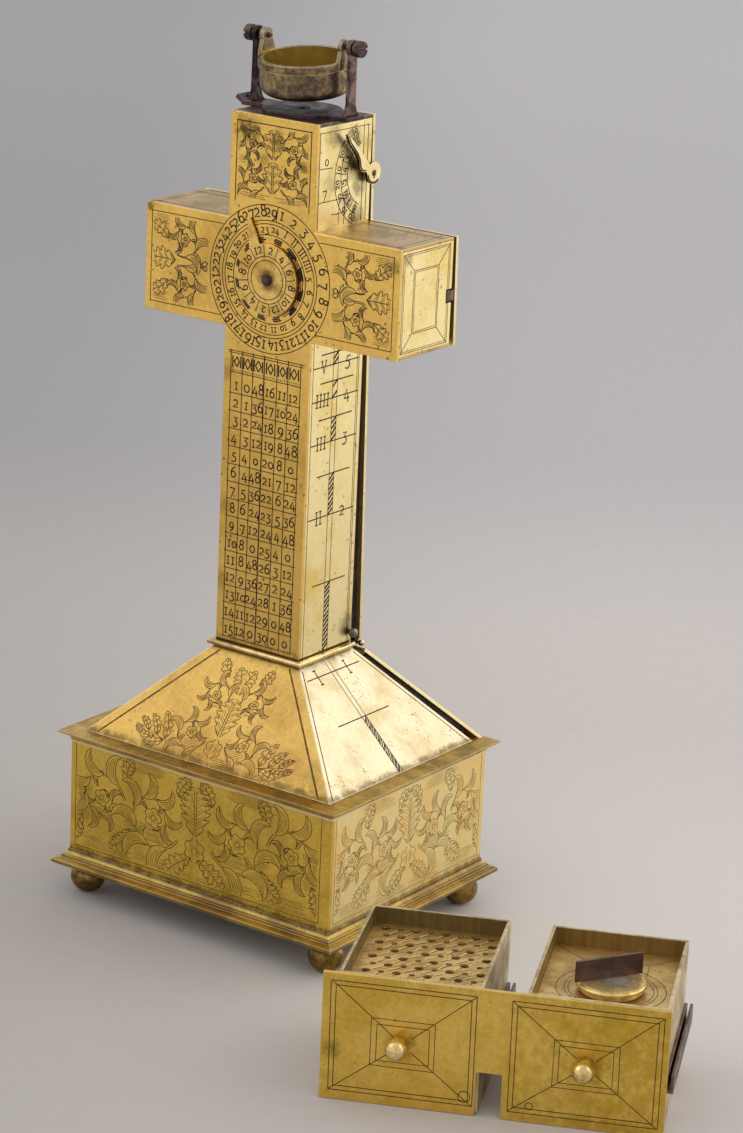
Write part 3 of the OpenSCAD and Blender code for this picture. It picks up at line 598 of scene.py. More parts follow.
class Scrollwork:
    """Foliage scrolls of the usual kind, cut on both sides of a middle line. What comes first lies on top.

    Strokes keep a little apart from the middle line, and a curl's bend grows by a power of its way.
    """

    apart, power = 0.2, 1.2

    def __init__(self, pen: Pen, field: tuple[float, float, float, float], middle: float = 0.0) -> None:
        """Starts an empty field.

        Args:
            pen: the face's pen.
            field: left, low, right and high edge of the field, with its left counted from the middle line.
            middle: place of the middle line.
        """
        self.pen, self.field, self.middle = pen, (max(field[0], self.apart), *field[1:]), middle
        self.shapes: list[Points] = []

    def free(self, points: Points) -> Points:
        """Tells which points are in the field and under no earlier shape.

        Args:
            points: the points to test.

        Returns:
            True for each free point.
        """
        left, low, right, high = self.field
        free = (points[:, 0] > left) & (points[:, 0] < right) & (points[:, 1] > low) & (points[:, 1] < high)
        for shape in self.shapes:
            near = free & ((points >= shape.min(0)) & (points <= shape.max(0))).all(1)
            if near.any():
                free[near] = ~inside(points[near], shape)
        return free

    def cut(self, points: Points, width: float = 1.0, taper: float = 0.5) -> None:
        """Cuts a line and its mirror image, wherever it is free, its width a share of the pen's.

        Args:
            points: the line's course.
            width: share of the pen's width.
            taper: share of the width lost at both ends.
        """
        reach = np.concatenate([[0], np.cumsum(np.linalg.norm(np.diff(points, axis=0), axis=1))])
        at = np.linspace(0, reach[-1], max(3, int(reach[-1] / 0.4) + 2))
        fine = np.stack([np.interp(at, reach, points[:, i]) for i in (0, 1)], 1)
        turns = np.flatnonzero(np.diff(np.concatenate([[0], self.free(fine), [0]]).astype(int)))
        for first, last in turns.reshape(-1, 2):
            if last - first > 1:
                for s in (1, -1):
                    shift = self.pen.random.normal(0, 0.04, 2) + (self.middle, 0)
                    self.pen.line(fine[first:last] * (s, 1) + shift, self.pen.width * width, taper)

    @classmethod
    def curl(cls, root: Pair | Points, aim: float, long: float, turn: float, steps: int = 40) -> Points:
        """A line whose direction is aim plus turn times a power of the way along, summed from the root.

        Args:
            root: start of the line.
            aim: its first direction in degrees.
            long: its length.
            turn: how far it turns, in degrees.
            steps: number of its points.

        Returns:
            The line's points.
        """
        way = np.radians(aim + turn * np.linspace(0, 1, steps) ** cls.power)
        step = np.stack([np.cos(way), np.sin(way)], 1) * long / (steps - 1)
        return np.array(root) + np.vstack([np.zeros((1, 2)), np.cumsum(step[:-1], 0)])

    @staticmethod
    def sides(rib: Points) -> tuple[Points, Points]:
        """The direction along a rib and the one to its left, at each of its points.

        Args:
            rib: the rib's points.

        Returns:
            Both directions as unit vectors.
        """
        way = np.gradient(rib, axis=0)
        way /= np.linalg.norm(way, axis=1, keepdims=True)
        return way, np.stack([-way[:, 1], way[:, 0]], 1)

    def leaf(self, root: Pair, aim: float, long: float, turn: float, fat: float, lobes: int) -> None:
        """Cuts a lobed leaf on a curling rib.

        Its two margins leave the rib by a bulge that swells once for each lobe and leans forward.
        A vein and a stroke of shade run into every lobe.

        Args:
            root: foot of the rib.
            aim: first direction of the rib in degrees.
            long: length of the rib.
            turn: how far the rib turns, in degrees.
            fat: half width as a share of the length.
            lobes: number of lobes on each side.
        """
        rib = self.curl(root, aim, long, turn)
        way, side = self.sides(rib)
        t = np.linspace(0, 1, len(rib))
        waves = 0.5 + 0.5 * np.abs(np.sin(lobes * np.pi * t))
        swell = (fat * long * np.sin(np.pi * t**0.75) ** 0.8 * waves)[:, None]
        margins = [rib + (s * side + 0.55 * way) * swell for s in (1, -1)]
        for i in range(lobes):
            at = int((i + 0.5) / lobes * (len(rib) - 1))
            for margin in margins:
                self.cut(np.stack([rib[max(at - 3, 0)], 0.25 * rib[at] + 0.75 * margin[at]]), 0.7)
                ahead = min(at + 2, len(rib) - 1)
                self.cut(np.stack([rib[at], 0.45 * rib[at] + 0.55 * margin[ahead]]), 0.55)
        self.cut(rib[:-3])
        for margin in margins:
            self.cut(margin, 1.0, 0.2)
        self.shapes.append(np.vstack([margins[0], margins[1][::-1]]))

    def frond(self, root: Points, aim: float, long: float, turn: float, fat: float) -> None:
        """Cuts a smooth sickle leaf: a full outer margin, a slim inner one and shading that follows its bend.

        Args:
            root: foot of the leaf.
            aim: first direction of its rib in degrees.
            long: length of the rib.
            turn: how far the rib turns, in degrees. The full margin is on the outside of the bend.
            fat: width of the full margin as a share of the length.
        """
        rib = self.curl(root, aim, long, turn, 30)
        side = self.sides(rib)[1] * -np.sign(turn)
        swell = (fat * long * np.sin(np.pi * np.linspace(0, 1, len(rib)) ** 0.85) ** 0.9)[:, None]
        outer, inner = rib + side * swell, rib - 0.3 * side * swell
        for share, first, last in ((0.28, 4, 25), (0.52, 7, 22), (0.76, 10, 19)):
            self.cut((rib + share * side * swell)[first:last], 0.6)
        self.cut(rib[1:-2], 0.8)
        self.cut(outer, 1.0, 0.2)
        self.cut(inner, 1.0, 0.2)
        self.shapes.append(np.vstack([outer, inner[::-1]]))

    def flower(self, at: Pair, radius: float, petals: int = 5) -> None:
        """Cuts a round flower: an eye, rays and a rim that swells once for each petal.

        Args:
            at: its middle.
            radius: radius of its rim.
            petals: number of its petals.
        """
        turn = np.linspace(0, 2 * np.pi, 8 * petals + 1)
        ring = np.stack([np.cos(turn), np.sin(turn)], 1)
        rim = ring * (radius * (0.72 + 0.28 * np.abs(np.sin(petals / 2 * turn))))[:, None] + np.array(at)
        self.cut(rim, 1.0, 0.0)
        self.cut(ring * radius * 0.26 + np.array(at), 1.0, 0.0)
        for ray in ring[::3]:
            self.cut(np.stack([ray * radius * 0.34, ray * radius * 0.62]) + np.array(at), 0.6)
        self.shapes.append(rim)

    def volute(
        self, centre: Pair, radius: float, start: float, sweep: float, leaves: int = 6, big: float = 1.3
    ) -> None:
        """Cuts a flower, leaves wound round it and the stem that carries them.

        The stem runs from the outside to the flower: its radius falls as its angle grows.

        Args:
            centre: place of the flower.
            radius: radius of the stem at its start.
            start: angle of the stem's start in degrees.
            sweep: how far the stem winds, above zero for anticlockwise.
            leaves: number of leaves on the outer side.
            big: length of the first leaf as a share of the radius.
        """
        self.flower(centre, radius * 0.3)
        hand = np.sign(sweep)
        share = np.linspace(0, 1, 90)
        angle = np.radians(start + sweep * share)
        ring = np.stack([np.cos(angle), np.sin(angle)], 1)
        reach = (radius * (1 - 0.68 * share**0.9))[:, None]
        stem = np.array(centre) + ring * reach
        for i in range(leaves - 1, -1, -1):
            at = int(89 * (0.08 + 0.84 * i / leaves))
            way = math.degrees(angle[at]) + 90 * hand
            long = radius * big * (1 - 0.6 * at / 89)
            self.frond(stem[at], way + hand * 6, long, -hand * 125, 0.25)
            if i % 2:
                self.frond(stem[at], way + hand * 16, long * 0.6, hand * 130, 0.24)
        self.cut(stem, 1.1, 0.1)
        self.cut(np.array(centre) + ring * (reach - 0.07 * radius * (1 - share[:, None])), 0.9, 0.1)

    def ground(self, left: float, low: float, right: float, high: float, gap: float = 0.55) -> None:
        """Shades a patch of the ground with level strokes of uneven length.

        Args:
            left: the patch's left edge.
            low: its low edge.
            right: its right edge.
            high: its high edge.
            gap: distance between strokes.
        """
        random = self.pen.random
        for v in np.arange(low, high, gap):
            a, b = random.uniform(0, 0.22, 2) * (right - left)
            self.cut(path((left + a, v), (right - b, v + random.normal(0, 0.1))), 0.55)


# The part's own faces

SHAFT_HALF = 15.0
FRONT_Y = -12.5
FOOT_LINE = 80.1
ARM_END = 44.4
ARM_LOW, ARM_TOP = 173.0, 204.0
DIAL_Z = 188.5
ROOF_LOW = 50.3
FRONT_SLOPE, SIDE_SLOPE = math.radians(51.3), math.radians(43.6)
DRAWER_TURN = math.radians(25.25)
DRAWER_AT = (91.5, -99.4, 0.0)
DRAWER_U = (math.cos(DRAWER_TURN), math.sin(DRAWER_TURN), 0.0)
DRAWER_V = (-math.sin(DRAWER_TURN), math.cos(DRAWER_TURN), 0.0)
FRONT = Face((0, FRONT_Y, 0), (1, 0, 0), (0, 0, 1))
RIGHT = Face((SHAFT_HALF, 0, 0), (0, 1, 0), (0, 0, 1))
LEFT = Face((-SHAFT_HALF, 0, 0), (0, -1, 0), (0, 0, 1))


def spoke(angle: float) -> Points:
    """The direction at an angle in degrees, anticlockwise from the right."""
    return np.array([math.cos(math.radians(angle)), math.sin(math.radians(angle))])


@dataclass
class LunarDial:
    """The fixed day and hour rings on the cross and the rings on the turning disc."""

    days: int = 29
    day_start: float = 6.0
    rings: tuple[float, ...] = (21.0, 16.6, 15.65, 12.6)
    day_size: float = 3.3
    hour_size: float = 2.1
    disc_y: float = -13.6
    disc_numbers: tuple[int, ...] = (12, 2, 4, 6, 8, 10, 12, 2, 4, 6, 8, 10)
    disc_start: float = -23.4
    roman: tuple[str, ...] = ("I", "II", "III", "IIII")

    @staticmethod
    def at(radius: float, clockwise: float) -> Pair:
        """The point at a radius and an angle clockwise from the top."""
        a = math.radians(clockwise)
        return (radius * math.sin(a), DIAL_Z + radius * math.cos(a))

    def fixed(self) -> Pen:
        """Cuts the day ring, the hour ring and the dark blocks under the disc's edge, and paints the disc's shadow
        as three dark arcs on its right.

        Returns:
            The face's pen.
        """
        pen = Pen(FRONT, 0.24, 3)
        middle_point = (0, DIAL_Z)
        for radius in self.rings:
            pen.ring(middle_point, radius, 0.26)
        cell = 360 / self.days
        for day in range(1, self.days + 1):
            middle = self.day_start + cell * (day - 0.5)
            pen.write(str(day), self.at(18.8, middle), self.day_size, 0.46, -middle)
        for hour in range(1, 25):
            middle = self.day_start + 15 * hour
            mark = self.roman[hour - 1] if hour <= 4 else str(hour)
            pen.write(mark, self.at(14.05, middle), self.hour_size, 0.36, -middle)
        for start in np.arange(self.day_start, 360, 30):
            a, b = start + pen.random.normal(0, 1.5), start + 15 + pen.random.normal(0, 1.5)
            for radius in (10.7, 11.25, 11.8):
                off = pen.random.normal(0, 1.6, 2)
                pen.ring(middle_point, radius, 0.46, 90 - a + off[0], 90 - b + off[1])
        # Painted shadow of the raised disc: three dark arcs on its right, just outside its edge.
        for radius, a, b in ((10.5, 66, -70), (11.05, 54, -62), (11.6, 44, -50)):
            pen.ring(middle_point, radius, 0.26, a, b)
        outer, inner = self.rings[:2]
        pen.cut(self.at(inner, self.day_start), self.at(outer, self.day_start), width=0.3)
        return pen

    def disc(self) -> Pen:
        """Cuts the turning disc's hour circle: a number every thirty degrees and a line between.

        Returns:
            The face's pen.
        """
        pen = Pen(Face((0, self.disc_y, 0), (1, 0, 0), (0, 0, 1)), 0.24, 4)
        for radius in (6.7, 5.55):
            pen.ring((0, DIAL_Z), radius, 0.24)
        for i, number in enumerate(self.disc_numbers):
            middle = self.disc_start + 30 * i
            pen.write(str(number), self.at(8.4, middle), 2.5, 0.38, -middle)
            pen.cut(self.at(6.8, middle + 15), self.at(10.0, middle + 15))
        return pen


@dataclass
class HourTable:
    """The table on the shaft that turns the moon's age in days into hours and minutes."""

    columns: tuple[float, ...] = (-12.5, -8.41, -4.76, -0.7, 3.87, 7.72, 12.0)
    top: float = 166.3
    head_low: float = 159.9
    head_gap: float = 0.9
    pitch: float = 5.17
    rows: int = 15
    step: int = 48
    size: float = 3.15

    def cut(self, pen: Pen) -> None:
        """Cuts the grid, a small ornament over each column and fifteen rows of numbers.

        Args:
            pen: the face's pen.
        """
        body_top = self.head_low - self.head_gap
        for i, x in enumerate(self.columns):
            pen.cut((x, body_top - self.pitch * self.rows), (x, self.top + 0.3), width=0.42 if i == 3 else 0.28)
        for z in (self.top, self.top - 0.75):
            pen.cut((-13.4, z), (13.4, z))
        pen.cut((-14.8, FOOT_LINE), (14.8, FOOT_LINE), width=0.6)
        for row in range(self.rows + 1):
            z = (body_top if row else self.head_low) - self.pitch * row
            pen.cut((-12.9, z), (12.5, z), width=0.25)
        middles = [(a + b) / 2 for a, b in zip(self.columns, self.columns[1:])]
        for x in middles:
            for s in (-1, 1):
                pen.cut((x, 161.6), (x + s * 0.95, 163.1), (x, 164.6), width=0.4)
                pen.cut((x + s * 1.45, 161.4), (x + s * 1.45, 164.8), width=0.46)
            for dot in np.arange(x - 1.5, x + 1.6, 0.75):
                pen.line(path((dot - 0.16, 160.6), (dot + 0.16, 160.6)), 0.32)
        for row in range(1, self.rows + 1):
            z = body_top - self.pitch * (row - 0.5)
            left, right = self.step * row, 720 - self.step * row
            cells = (row, left // 60, left % 60, row + 15, right // 60, right % 60)
            for x, value in zip(middles, cells):
                pen.write(str(value), (x, z - 0.3), self.size, 0.42)


@dataclass
class HourScale:
    """A side of the shaft, where the arm's edge throws its shadow on the hour lines."""

    marks: tuple[tuple[str, str], ...] = (("V", "5"), ("IIII", "4"), ("III", "3"), ("II", "2"))
    levels: tuple[float, ...] = (165.0, 155.3, 142.7, 120.9)
    halves: tuple[float, ...] = (168.5, 160.3, 149.7, 133.2, 100.8)
    low: float = 80.4
    high: float = 172.6
    band: Pair = (-1.15, 1.05)
    borders: tuple[float, ...] = (-10.5, 10.2, 10.9)
    slant: float = 1.8

    def cut(self, pen: Pen) -> None:
        """Cuts the hour and half-hour lines, their numbers and the hatched middle band.

        Args:
            pen: the face's pen.
        """
        for y in (*self.borders, *self.band):
            pen.cut((y, self.low), (y, self.high), width=0.2)
        for z, (left, right) in zip(self.levels, self.marks):
            pen.cut((-10.5, z), (10.8, z), width=0.34)
            pen.write(left, (-5.6, z - 0.6), 3.8, 0.46)
            pen.write(right, (5.6, z), 4.1, 0.44)
        for z in self.halves:
            pen.cut((-7.0, z), (8.4, z), width=0.36)
        pen.cut((-12.4, FOOT_LINE), (12.0, FOOT_LINE), width=0.6)
        a, b = self.band
        for high in self.halves:
            low = max(z for z in (*self.levels, self.low) if z < high)
            pen.hatch(path((a, low), (a, high - self.slant)), path((b, low + self.slant), (b, high)), 1.25, 0.62)


@dataclass
class CrossDress:
    """Borders and ornament on the cross: arms, head, arm ends and tops."""

    back_y: float = 17.95
    back_lean: float = 1.5
    hinge_z: float = 78.0

    def front(self, pen: Pen) -> None:
        """Cuts the arms' open frames and scrolls, and the head's frame with its scrolls.

        Args:
            pen: the face's pen.
        """
        for s in (-1, 1):
            for z in (175.6, 201.6):
                pen.cut((s * 16.8, z), (s * 42.3, z))
            pen.cut((s * 42.3, 175.4), (s * 42.3, 201.8))
        arms = Scrollwork(pen, (21.8, 176.2, 41.7, 201.0))
        arms.leaf((33.6, 188.5), 0, 8.4, 0, 0.4, 4)
        arms.volute((30.2, 195.0), 5.8, -60, -420)
        arms.volute((30.2, 182.0), 5.8, 60, 420)
        arms.leaf((36.2, 194.4), 50, 7.4, -40, 0.3, 4)
        arms.leaf((36.2, 182.6), -50, 7.4, 40, 0.3, 4)
        arms.leaf((24.6, 188.5), 180, 4.4, 0, 0.4, 3)
        for z in (176.6, 186.4, 198.6):
            arms.ground(36.0, z, 41.7, z + 2.4)
        for x in (-12.9, 12.9):
            pen.cut((x, 209.0), (x, 231.9), width=0.3)
        pen.cut((-13.1, 231.6), (13.1, 231.6), width=0.3)
        head = Scrollwork(pen, (0, 210.2, 12.3, 231.0))
        head.leaf((0.2, 212.4), 90, 9.0, 0, 0.36, 4)
        head.volute((7.0, 216.2), 4.6, 205, 400)
        head.leaf((0.2, 221.8), 90, 8.6, 0, 0.4, 4)
        head.volute((7.2, 225.8), 4.3, 165, -400)
        head.ground(0.4, 210.6, 12.0, 211.8)
        head.ground(9.0, 220.2, 12.2, 222.0)

    def end(self, s: int) -> Pen:
        """Cuts the nested frames and mitre lines of the arm's end on side s.

        Args:
            s: 1 for the right side, -1 for the left.

        Returns:
            The face's pen.
        """
        pen = Pen(Face((s * ARM_END, 0, 0), (0, s, 0), (0, 0, 1)), 0.22, 6)
        field = corners(-12.5, ARM_LOW, 12.5, ARM_TOP)
        outer, inner = pen.frame(field, (1.6, 6.6))
        pen.frame(field, (2.2, 7.2), 0.16)
        for a, b in zip(outer, inner):
            pen.cut(a, b)
        return pen

    def level(self, z: float, v: int) -> Pen:
        """Cuts fine scribe lines along the arms' upper or under sides.

        Args:
            z: height of the side.
            v: 1 for the upper side, -1 for the under side.

        Returns:
            The side's pen.
        """
        pen = Pen(Face((0, 0, z), (1, 0, 0), (0, v, 0)), 0.18, 7)
        for y in (-10.6, -9.6, 8.0, 8.8):
            for s in (-1, 1):
                pen.cut((s * 15.6, y * v), (s * 43.8, y * v))
        for s in (-1, 1):
            pen.cut((s * 41.6, -11.0 * v), (s * 41.6, 11.0 * v))
            pen.cut((s * 43.8, -12.0 * v), (s * 41.6, -9.6 * v))
        return pen

    def back(self) -> Pen:
        """Cuts a border on the leaning back cover, a scroll where the arms cross it and leaves down its shaft.

        Returns:
            The face's pen.
        """
        lean = math.radians(self.back_lean)
        rise = (0, -math.sin(lean), math.cos(lean))
        foot = (0, self.back_y - self.hinge_z * rise[1], self.hinge_z * (1 - rise[2]))
        pen = Pen(Face(foot, (-1, 0, 0), rise), 0.22, 8)
        half = ((13.0, 80.5), (13.0, 175.4), (42.4, 175.4), (42.4, 201.8), (13.0, 201.8), (13.0, 231.6))
        for s in (-1, 1):
            for (x, z), (x2, z2) in zip(half, half[1:]):
                pen.cut((s * x, z), (s * x2, z2))
        for z in (80.5, 231.6):
            pen.cut((-13.0, z), (13.0, z))
        work = Scrollwork(pen, (0, 82, 41.0, 230))
        work.flower((0, 188.5), 5.4, 8)
        work.volute((14.0, 194.6), 5.6, 200, 410)
        work.volute((29.6, 187.6), 6.6, 160, -420)
        work.volute((7.0, 211.6), 5.0, 230, 400)
        work.leaf((0.3, 196.0), 90, 12.0, 0, 0.34, 6)
        for z in (170.0, 148.0, 126.0, 104.0):
            work.leaf((0.3, z - 16.0), 90, 13.0, 0, 0.3, 6)
            work.volute((6.8, z - 4.0), 4.8, -120, 400)
        return pen


@dataclass
class IndexScale:
    """Small numbers round the index hand on the head's right side."""

    hub: Pair = (11.2, 218.0)
    rings: Triple = (9.4, 12.4, 15.2)
    hand_turn: float = 46.3
    hand_face: float = 17.3
    hand_edge: tuple[Pair, ...] = (
        (0.05, 17.2), (-0.75, 15.0), (-0.82, 12.3), (-0.96, 9.8),
        (-1.56, 7.9), (-2.64, 6.3), (-2.74, 4.7), (-1.7, 3.5),
    )

    def cut(self, pen: Pen) -> None:
        """Cuts the side's frame, the ticks on its left and the two arcs of numbers round the hub.

        Args:
            pen: the face's pen.
        """
        pen.cut((-11.4, 231.4), (11.4, 231.4), width=0.2)
        for y in (-11.2, 8.8, 10.9):
            pen.cut((y, 204.6), (y, 231.6), width=0.26)
        pen.cut((-10.8, 221.3), (-5.2, 221.3))
        pen.cut((-11.0, 212.0), (2.2, 212.0))
        pen.cut((-5.0, 208.0), (1.8, 208.0))
        pen.write("0", (-8.1, 222.9), 2.9, 0.34)
        pen.write("7", (-8.7, 214.2), 3.4, 0.34)
        for y in (-1.6, 0.9):
            pen.cut((y, 204.6), (y, 211.8), width=0.2)
        for radius in self.rings:
            pen.ring(self.hub, radius, 0.26, 112, 246)
        for a in np.arange(115, 246, 8.75):
            pen.line(np.stack([spoke(a) * radius for radius in self.rings[:2]]) + self.hub, 0.22)
        for i, a in enumerate(np.arange(118, 244, 17.5)):
            for radius, value in ((10.9, i + 1), (13.8, 10 * (i % 3) + 10)):
                pen.write(str(value), np.array(self.hub) + radius * spoke(a), 2.2, 0.36, a - 90)

    def hand(self) -> Pen:
        """Paints shade along the hand's lower left edge, from its tip to its hub, as dark lines.

        Returns:
            The face's pen.
        """
        turn = math.radians(self.hand_turn)
        along = (0, math.cos(turn), math.sin(turn))
        pen = Pen(Face((self.hand_face, *self.hub), along, (0, -along[2], along[1])), 0.34, 16)
        pen.line(path(*self.hand_edge), 0.62, 0.5)
        pen.ring((0, 0), 2.78, 0.6, 140, 270)
        return pen


@dataclass
class FootDress:
    """Scales and ornament on the hipped foot and on the base box."""

    roof_y: float = -35.0
    roof_x: float = 44.5
    wall_y: float = -37.5
    wall_x: float = 47.5
    wall_low: float = 13.8
    wall_top: float = 49.1
    hinge: Pair = (18.1, 78.0)
    flap_set: float = 0.7
    field_half: float = 44.2
    grounds: tuple[tuple[float, float, float, float], ...] = (
        (0.0, -16.0, 0.5, -12.6), (0.5, -16.0, 0.98, -12.0), (0.86, -7, 1.0, 3),
        (0.2, 12.2, 0.72, 16.0), (0.47, -8, 0.6, -2), (0.02, 8.0, 0.12, 15.0),
    )

    def roof_front(self) -> Pen:
        """Cuts the hip lines, an upright leaf, scrolls on both sides of it and sprays in the low corners.

        Returns:
            The face's pen.
        """
        face = Face((0, self.roof_y, ROOF_LOW), (1, 0, 0), (0, math.cos(FRONT_SLOPE), math.sin(FRONT_SLOPE)))
        pen = Pen(face, 0.24, 11)
        for s in (-1, 1):
            pen.cut((s * 40.2, 0.6), (s * 12.6, 34.6), width=0.55)
        work = Scrollwork(pen, (0, 1.0, 30.0, 34.4))
        work.leaf((0.3, 9.6), 90, 12.0, 0, 0.34, 6)
        work.flower((0.0, 5.6), 3.0, 6)
        work.volute((9.4, 8.8), 6.2, 195, 420)
        work.volute((6.8, 21.2), 5.0, 205, -400)
        work.ground(4.6, 4.4, 12.0, 7.0)
        work.ground(3.0, 17.6, 9.6, 19.8)
        work.leaf((0.4, 23.0), 86, 8.6, -30, 0.3, 5)
        work.leaf((5.4, 27.4), 40, 6.4, 50, 0.3, 4)
        work.ground(0.4, 1.4, 9.0, 3.6)
        for i, aim in enumerate((22, 8, -6)):
            work.leaf((17.0 + 3.2 * i, 4.4 + 0.6 * i), 62 + aim, 9.0 - 1.6 * i, -40, 0.2, 4)
            work.leaf((17.4 + 3.4 * i, 4.0 + 0.4 * i), -aim - 8, 7.4 - 1.4 * i, 46, 0.22, 4)
        work.cut(work.curl((14.4, 3.2), 18, 15.0, -10))
        return pen

    def roof_side(self, s: int) -> Pen:
        """Cuts the last two lines of the hour scale on the slope of side s, with the hatched middle band.

        Args:
            s: 1 for the right side, -1 for the left.

        Returns:
            The face's pen.
        """
        rise = (-s * math.cos(SIDE_SLOPE), 0, math.sin(SIDE_SLOPE))
        pen = Pen(Face((s * self.roof_x, 0, ROOF_LOW), (0, s, 0), rise), 0.26, 12)
        for hip in (-1, 1):
            pen.cut((hip * 33.0, 0.4), (hip * 12.2, 38.8), width=0.3)
        for y in (-1.5, 0.5):
            pen.cut((y, 0.4), (y, 38.8), width=0.22)
        pen.cut((-13.0, 35.4), (11.8, 35.4), width=0.36)
        pen.cut((-12.8, 19.7), (11.7, 19.7), width=0.36)
        pen.write("I", (-7.8, 34.6), 4.8, 0.46)
        pen.write("I", (6.0, 34.5), 4.4, 0.46)
        pen.hatch(path((-1.5, 0.4), (-1.5, 18.0)), path((0.5, 2.2), (0.5, 19.7)), 0.7, 0.36)
        return pen

    def flap(self) -> Pen:
        """Cuts the hip lines and a spray of leaves on the back flap, counted down from its hinge.

        Returns:
            The face's pen.
        """
        out, up = math.sin(FRONT_SLOPE), math.cos(FRONT_SLOPE)
        y, z = self.hinge[0] - self.flap_set * out, self.hinge[1] - self.flap_set * up
        pen = Pen(Face((0, y, z), (-1, 0, 0), (0, -up, out)), 0.24, 15)
        for s in (-1, 1):
            pen.cut((s * 12.4, -3.6), (s * 38.0, -33.2), width=0.45)
        pen.cut((-38.0, -33.2), (38.0, -33.2), width=0.3)
        work = Scrollwork(pen, (0, -32.4, 33.0, -3.4))
        work.leaf((0.3, -20.0), 90, 14.0, 0, 0.32, 6)
        work.flower((0.0, -24.6), 3.4, 6)
        work.volute((10.6, -23.0), 6.8, 195, 420, 7)
        work.volute((6.4, -11.2), 3.6, 205, -400)
        work.volute((23.4, -26.0), 4.6, 172, -420)
        work.ground(4.0, -31.4, 18.0, -29.0)
        return pen

    def wall(self, pen: Pen, left: float, right: float, width: float) -> None:
        """Cuts a thin frame round a wall of the base."""
        pen.frame(corners(left, self.wall_low + 1.6, right, self.wall_top - 1.6), (0.0,), width)

    def base_front(self) -> Pen:
        """Cuts a frame and a long scroll on both sides of a flower on the base's front.

        Returns:
            The face's pen.
        """
        pen = Pen(Face((0, self.wall_y, 0), (1, 0, 0), (0, 0, 1)), 0.22, 13)
        self.wall(pen, -45.6, 43.8, 0.2)
        self.rinceau(pen, -0.9, self.field_half)
        return pen

    def base_side(self, s: int) -> Pen:
        """Cuts the same scroll, shorter and fainter, on the base's side s.

        Args:
            s: 1 for the right side, -1 for the left.

        Returns:
            The face's pen.
        """
        pen = Pen(Face((s * self.wall_x, 0, 0), (0, s, 0), (0, 0, 1)), 0.2, 14)
        self.wall(pen, -35.4, 35.6, 0.18)
        self.rinceau(pen, 0.1, 35.0)
        return pen

    def rinceau(self, pen: Pen, middle: float, half: float) -> None:
        """Cuts an upright leaf between two running scrolls, leaves in the corners and a shaded ground.

        Args:
            pen: the wall's pen.
            middle: place of the wall's middle line.
            half: half width of the field.
        """
        low, high = self.wall_low + 2.0, self.wall_top - 2.0
        level, k = (low + high) / 2, half / self.field_half
        work = Scrollwork(pen, (0, low, half, high), middle)
        work.leaf((0.3, level - 2.0), 90, 15.0, 0, 0.36, 7)
        work.flower((0.0, level - 6.4), 3.8, 6)
        work.volute((15.4 * k, level - 0.4), 10.6 * k, 205, 430, 8, 1.25)
        work.volute((34.8 * k, level + 0.8), 9.0 * k, 172, -430, 8, 1.25)
        work.ground(9.0 * k, level - 7.6, 21.0 * k, level - 3.0, 0.5)
        work.ground(30.0 * k, level - 5.6, 39.0 * k, level - 2.4, 0.5)
        work.leaf((24.2 * k, level - 6.0), -70, 11.0, 60, 0.3, 6)
        work.leaf((25.4 * k, level + 8.0), 84, 8.0, 60, 0.32, 5)
        work.leaf((1.4, level - 9.0), -26, 13.0 * k, -30, 0.24, 6)
        work.leaf((42.0 * k, level - 6.0), -60, 9.0, -30, 0.3, 5)
        work.leaf((6.0 * k, level + 8.4), 100, 8.0, 60, 0.3, 5)
        for left, bottom, right, top in self.grounds:
            work.ground(left * half, level + bottom, right * half, level + top)


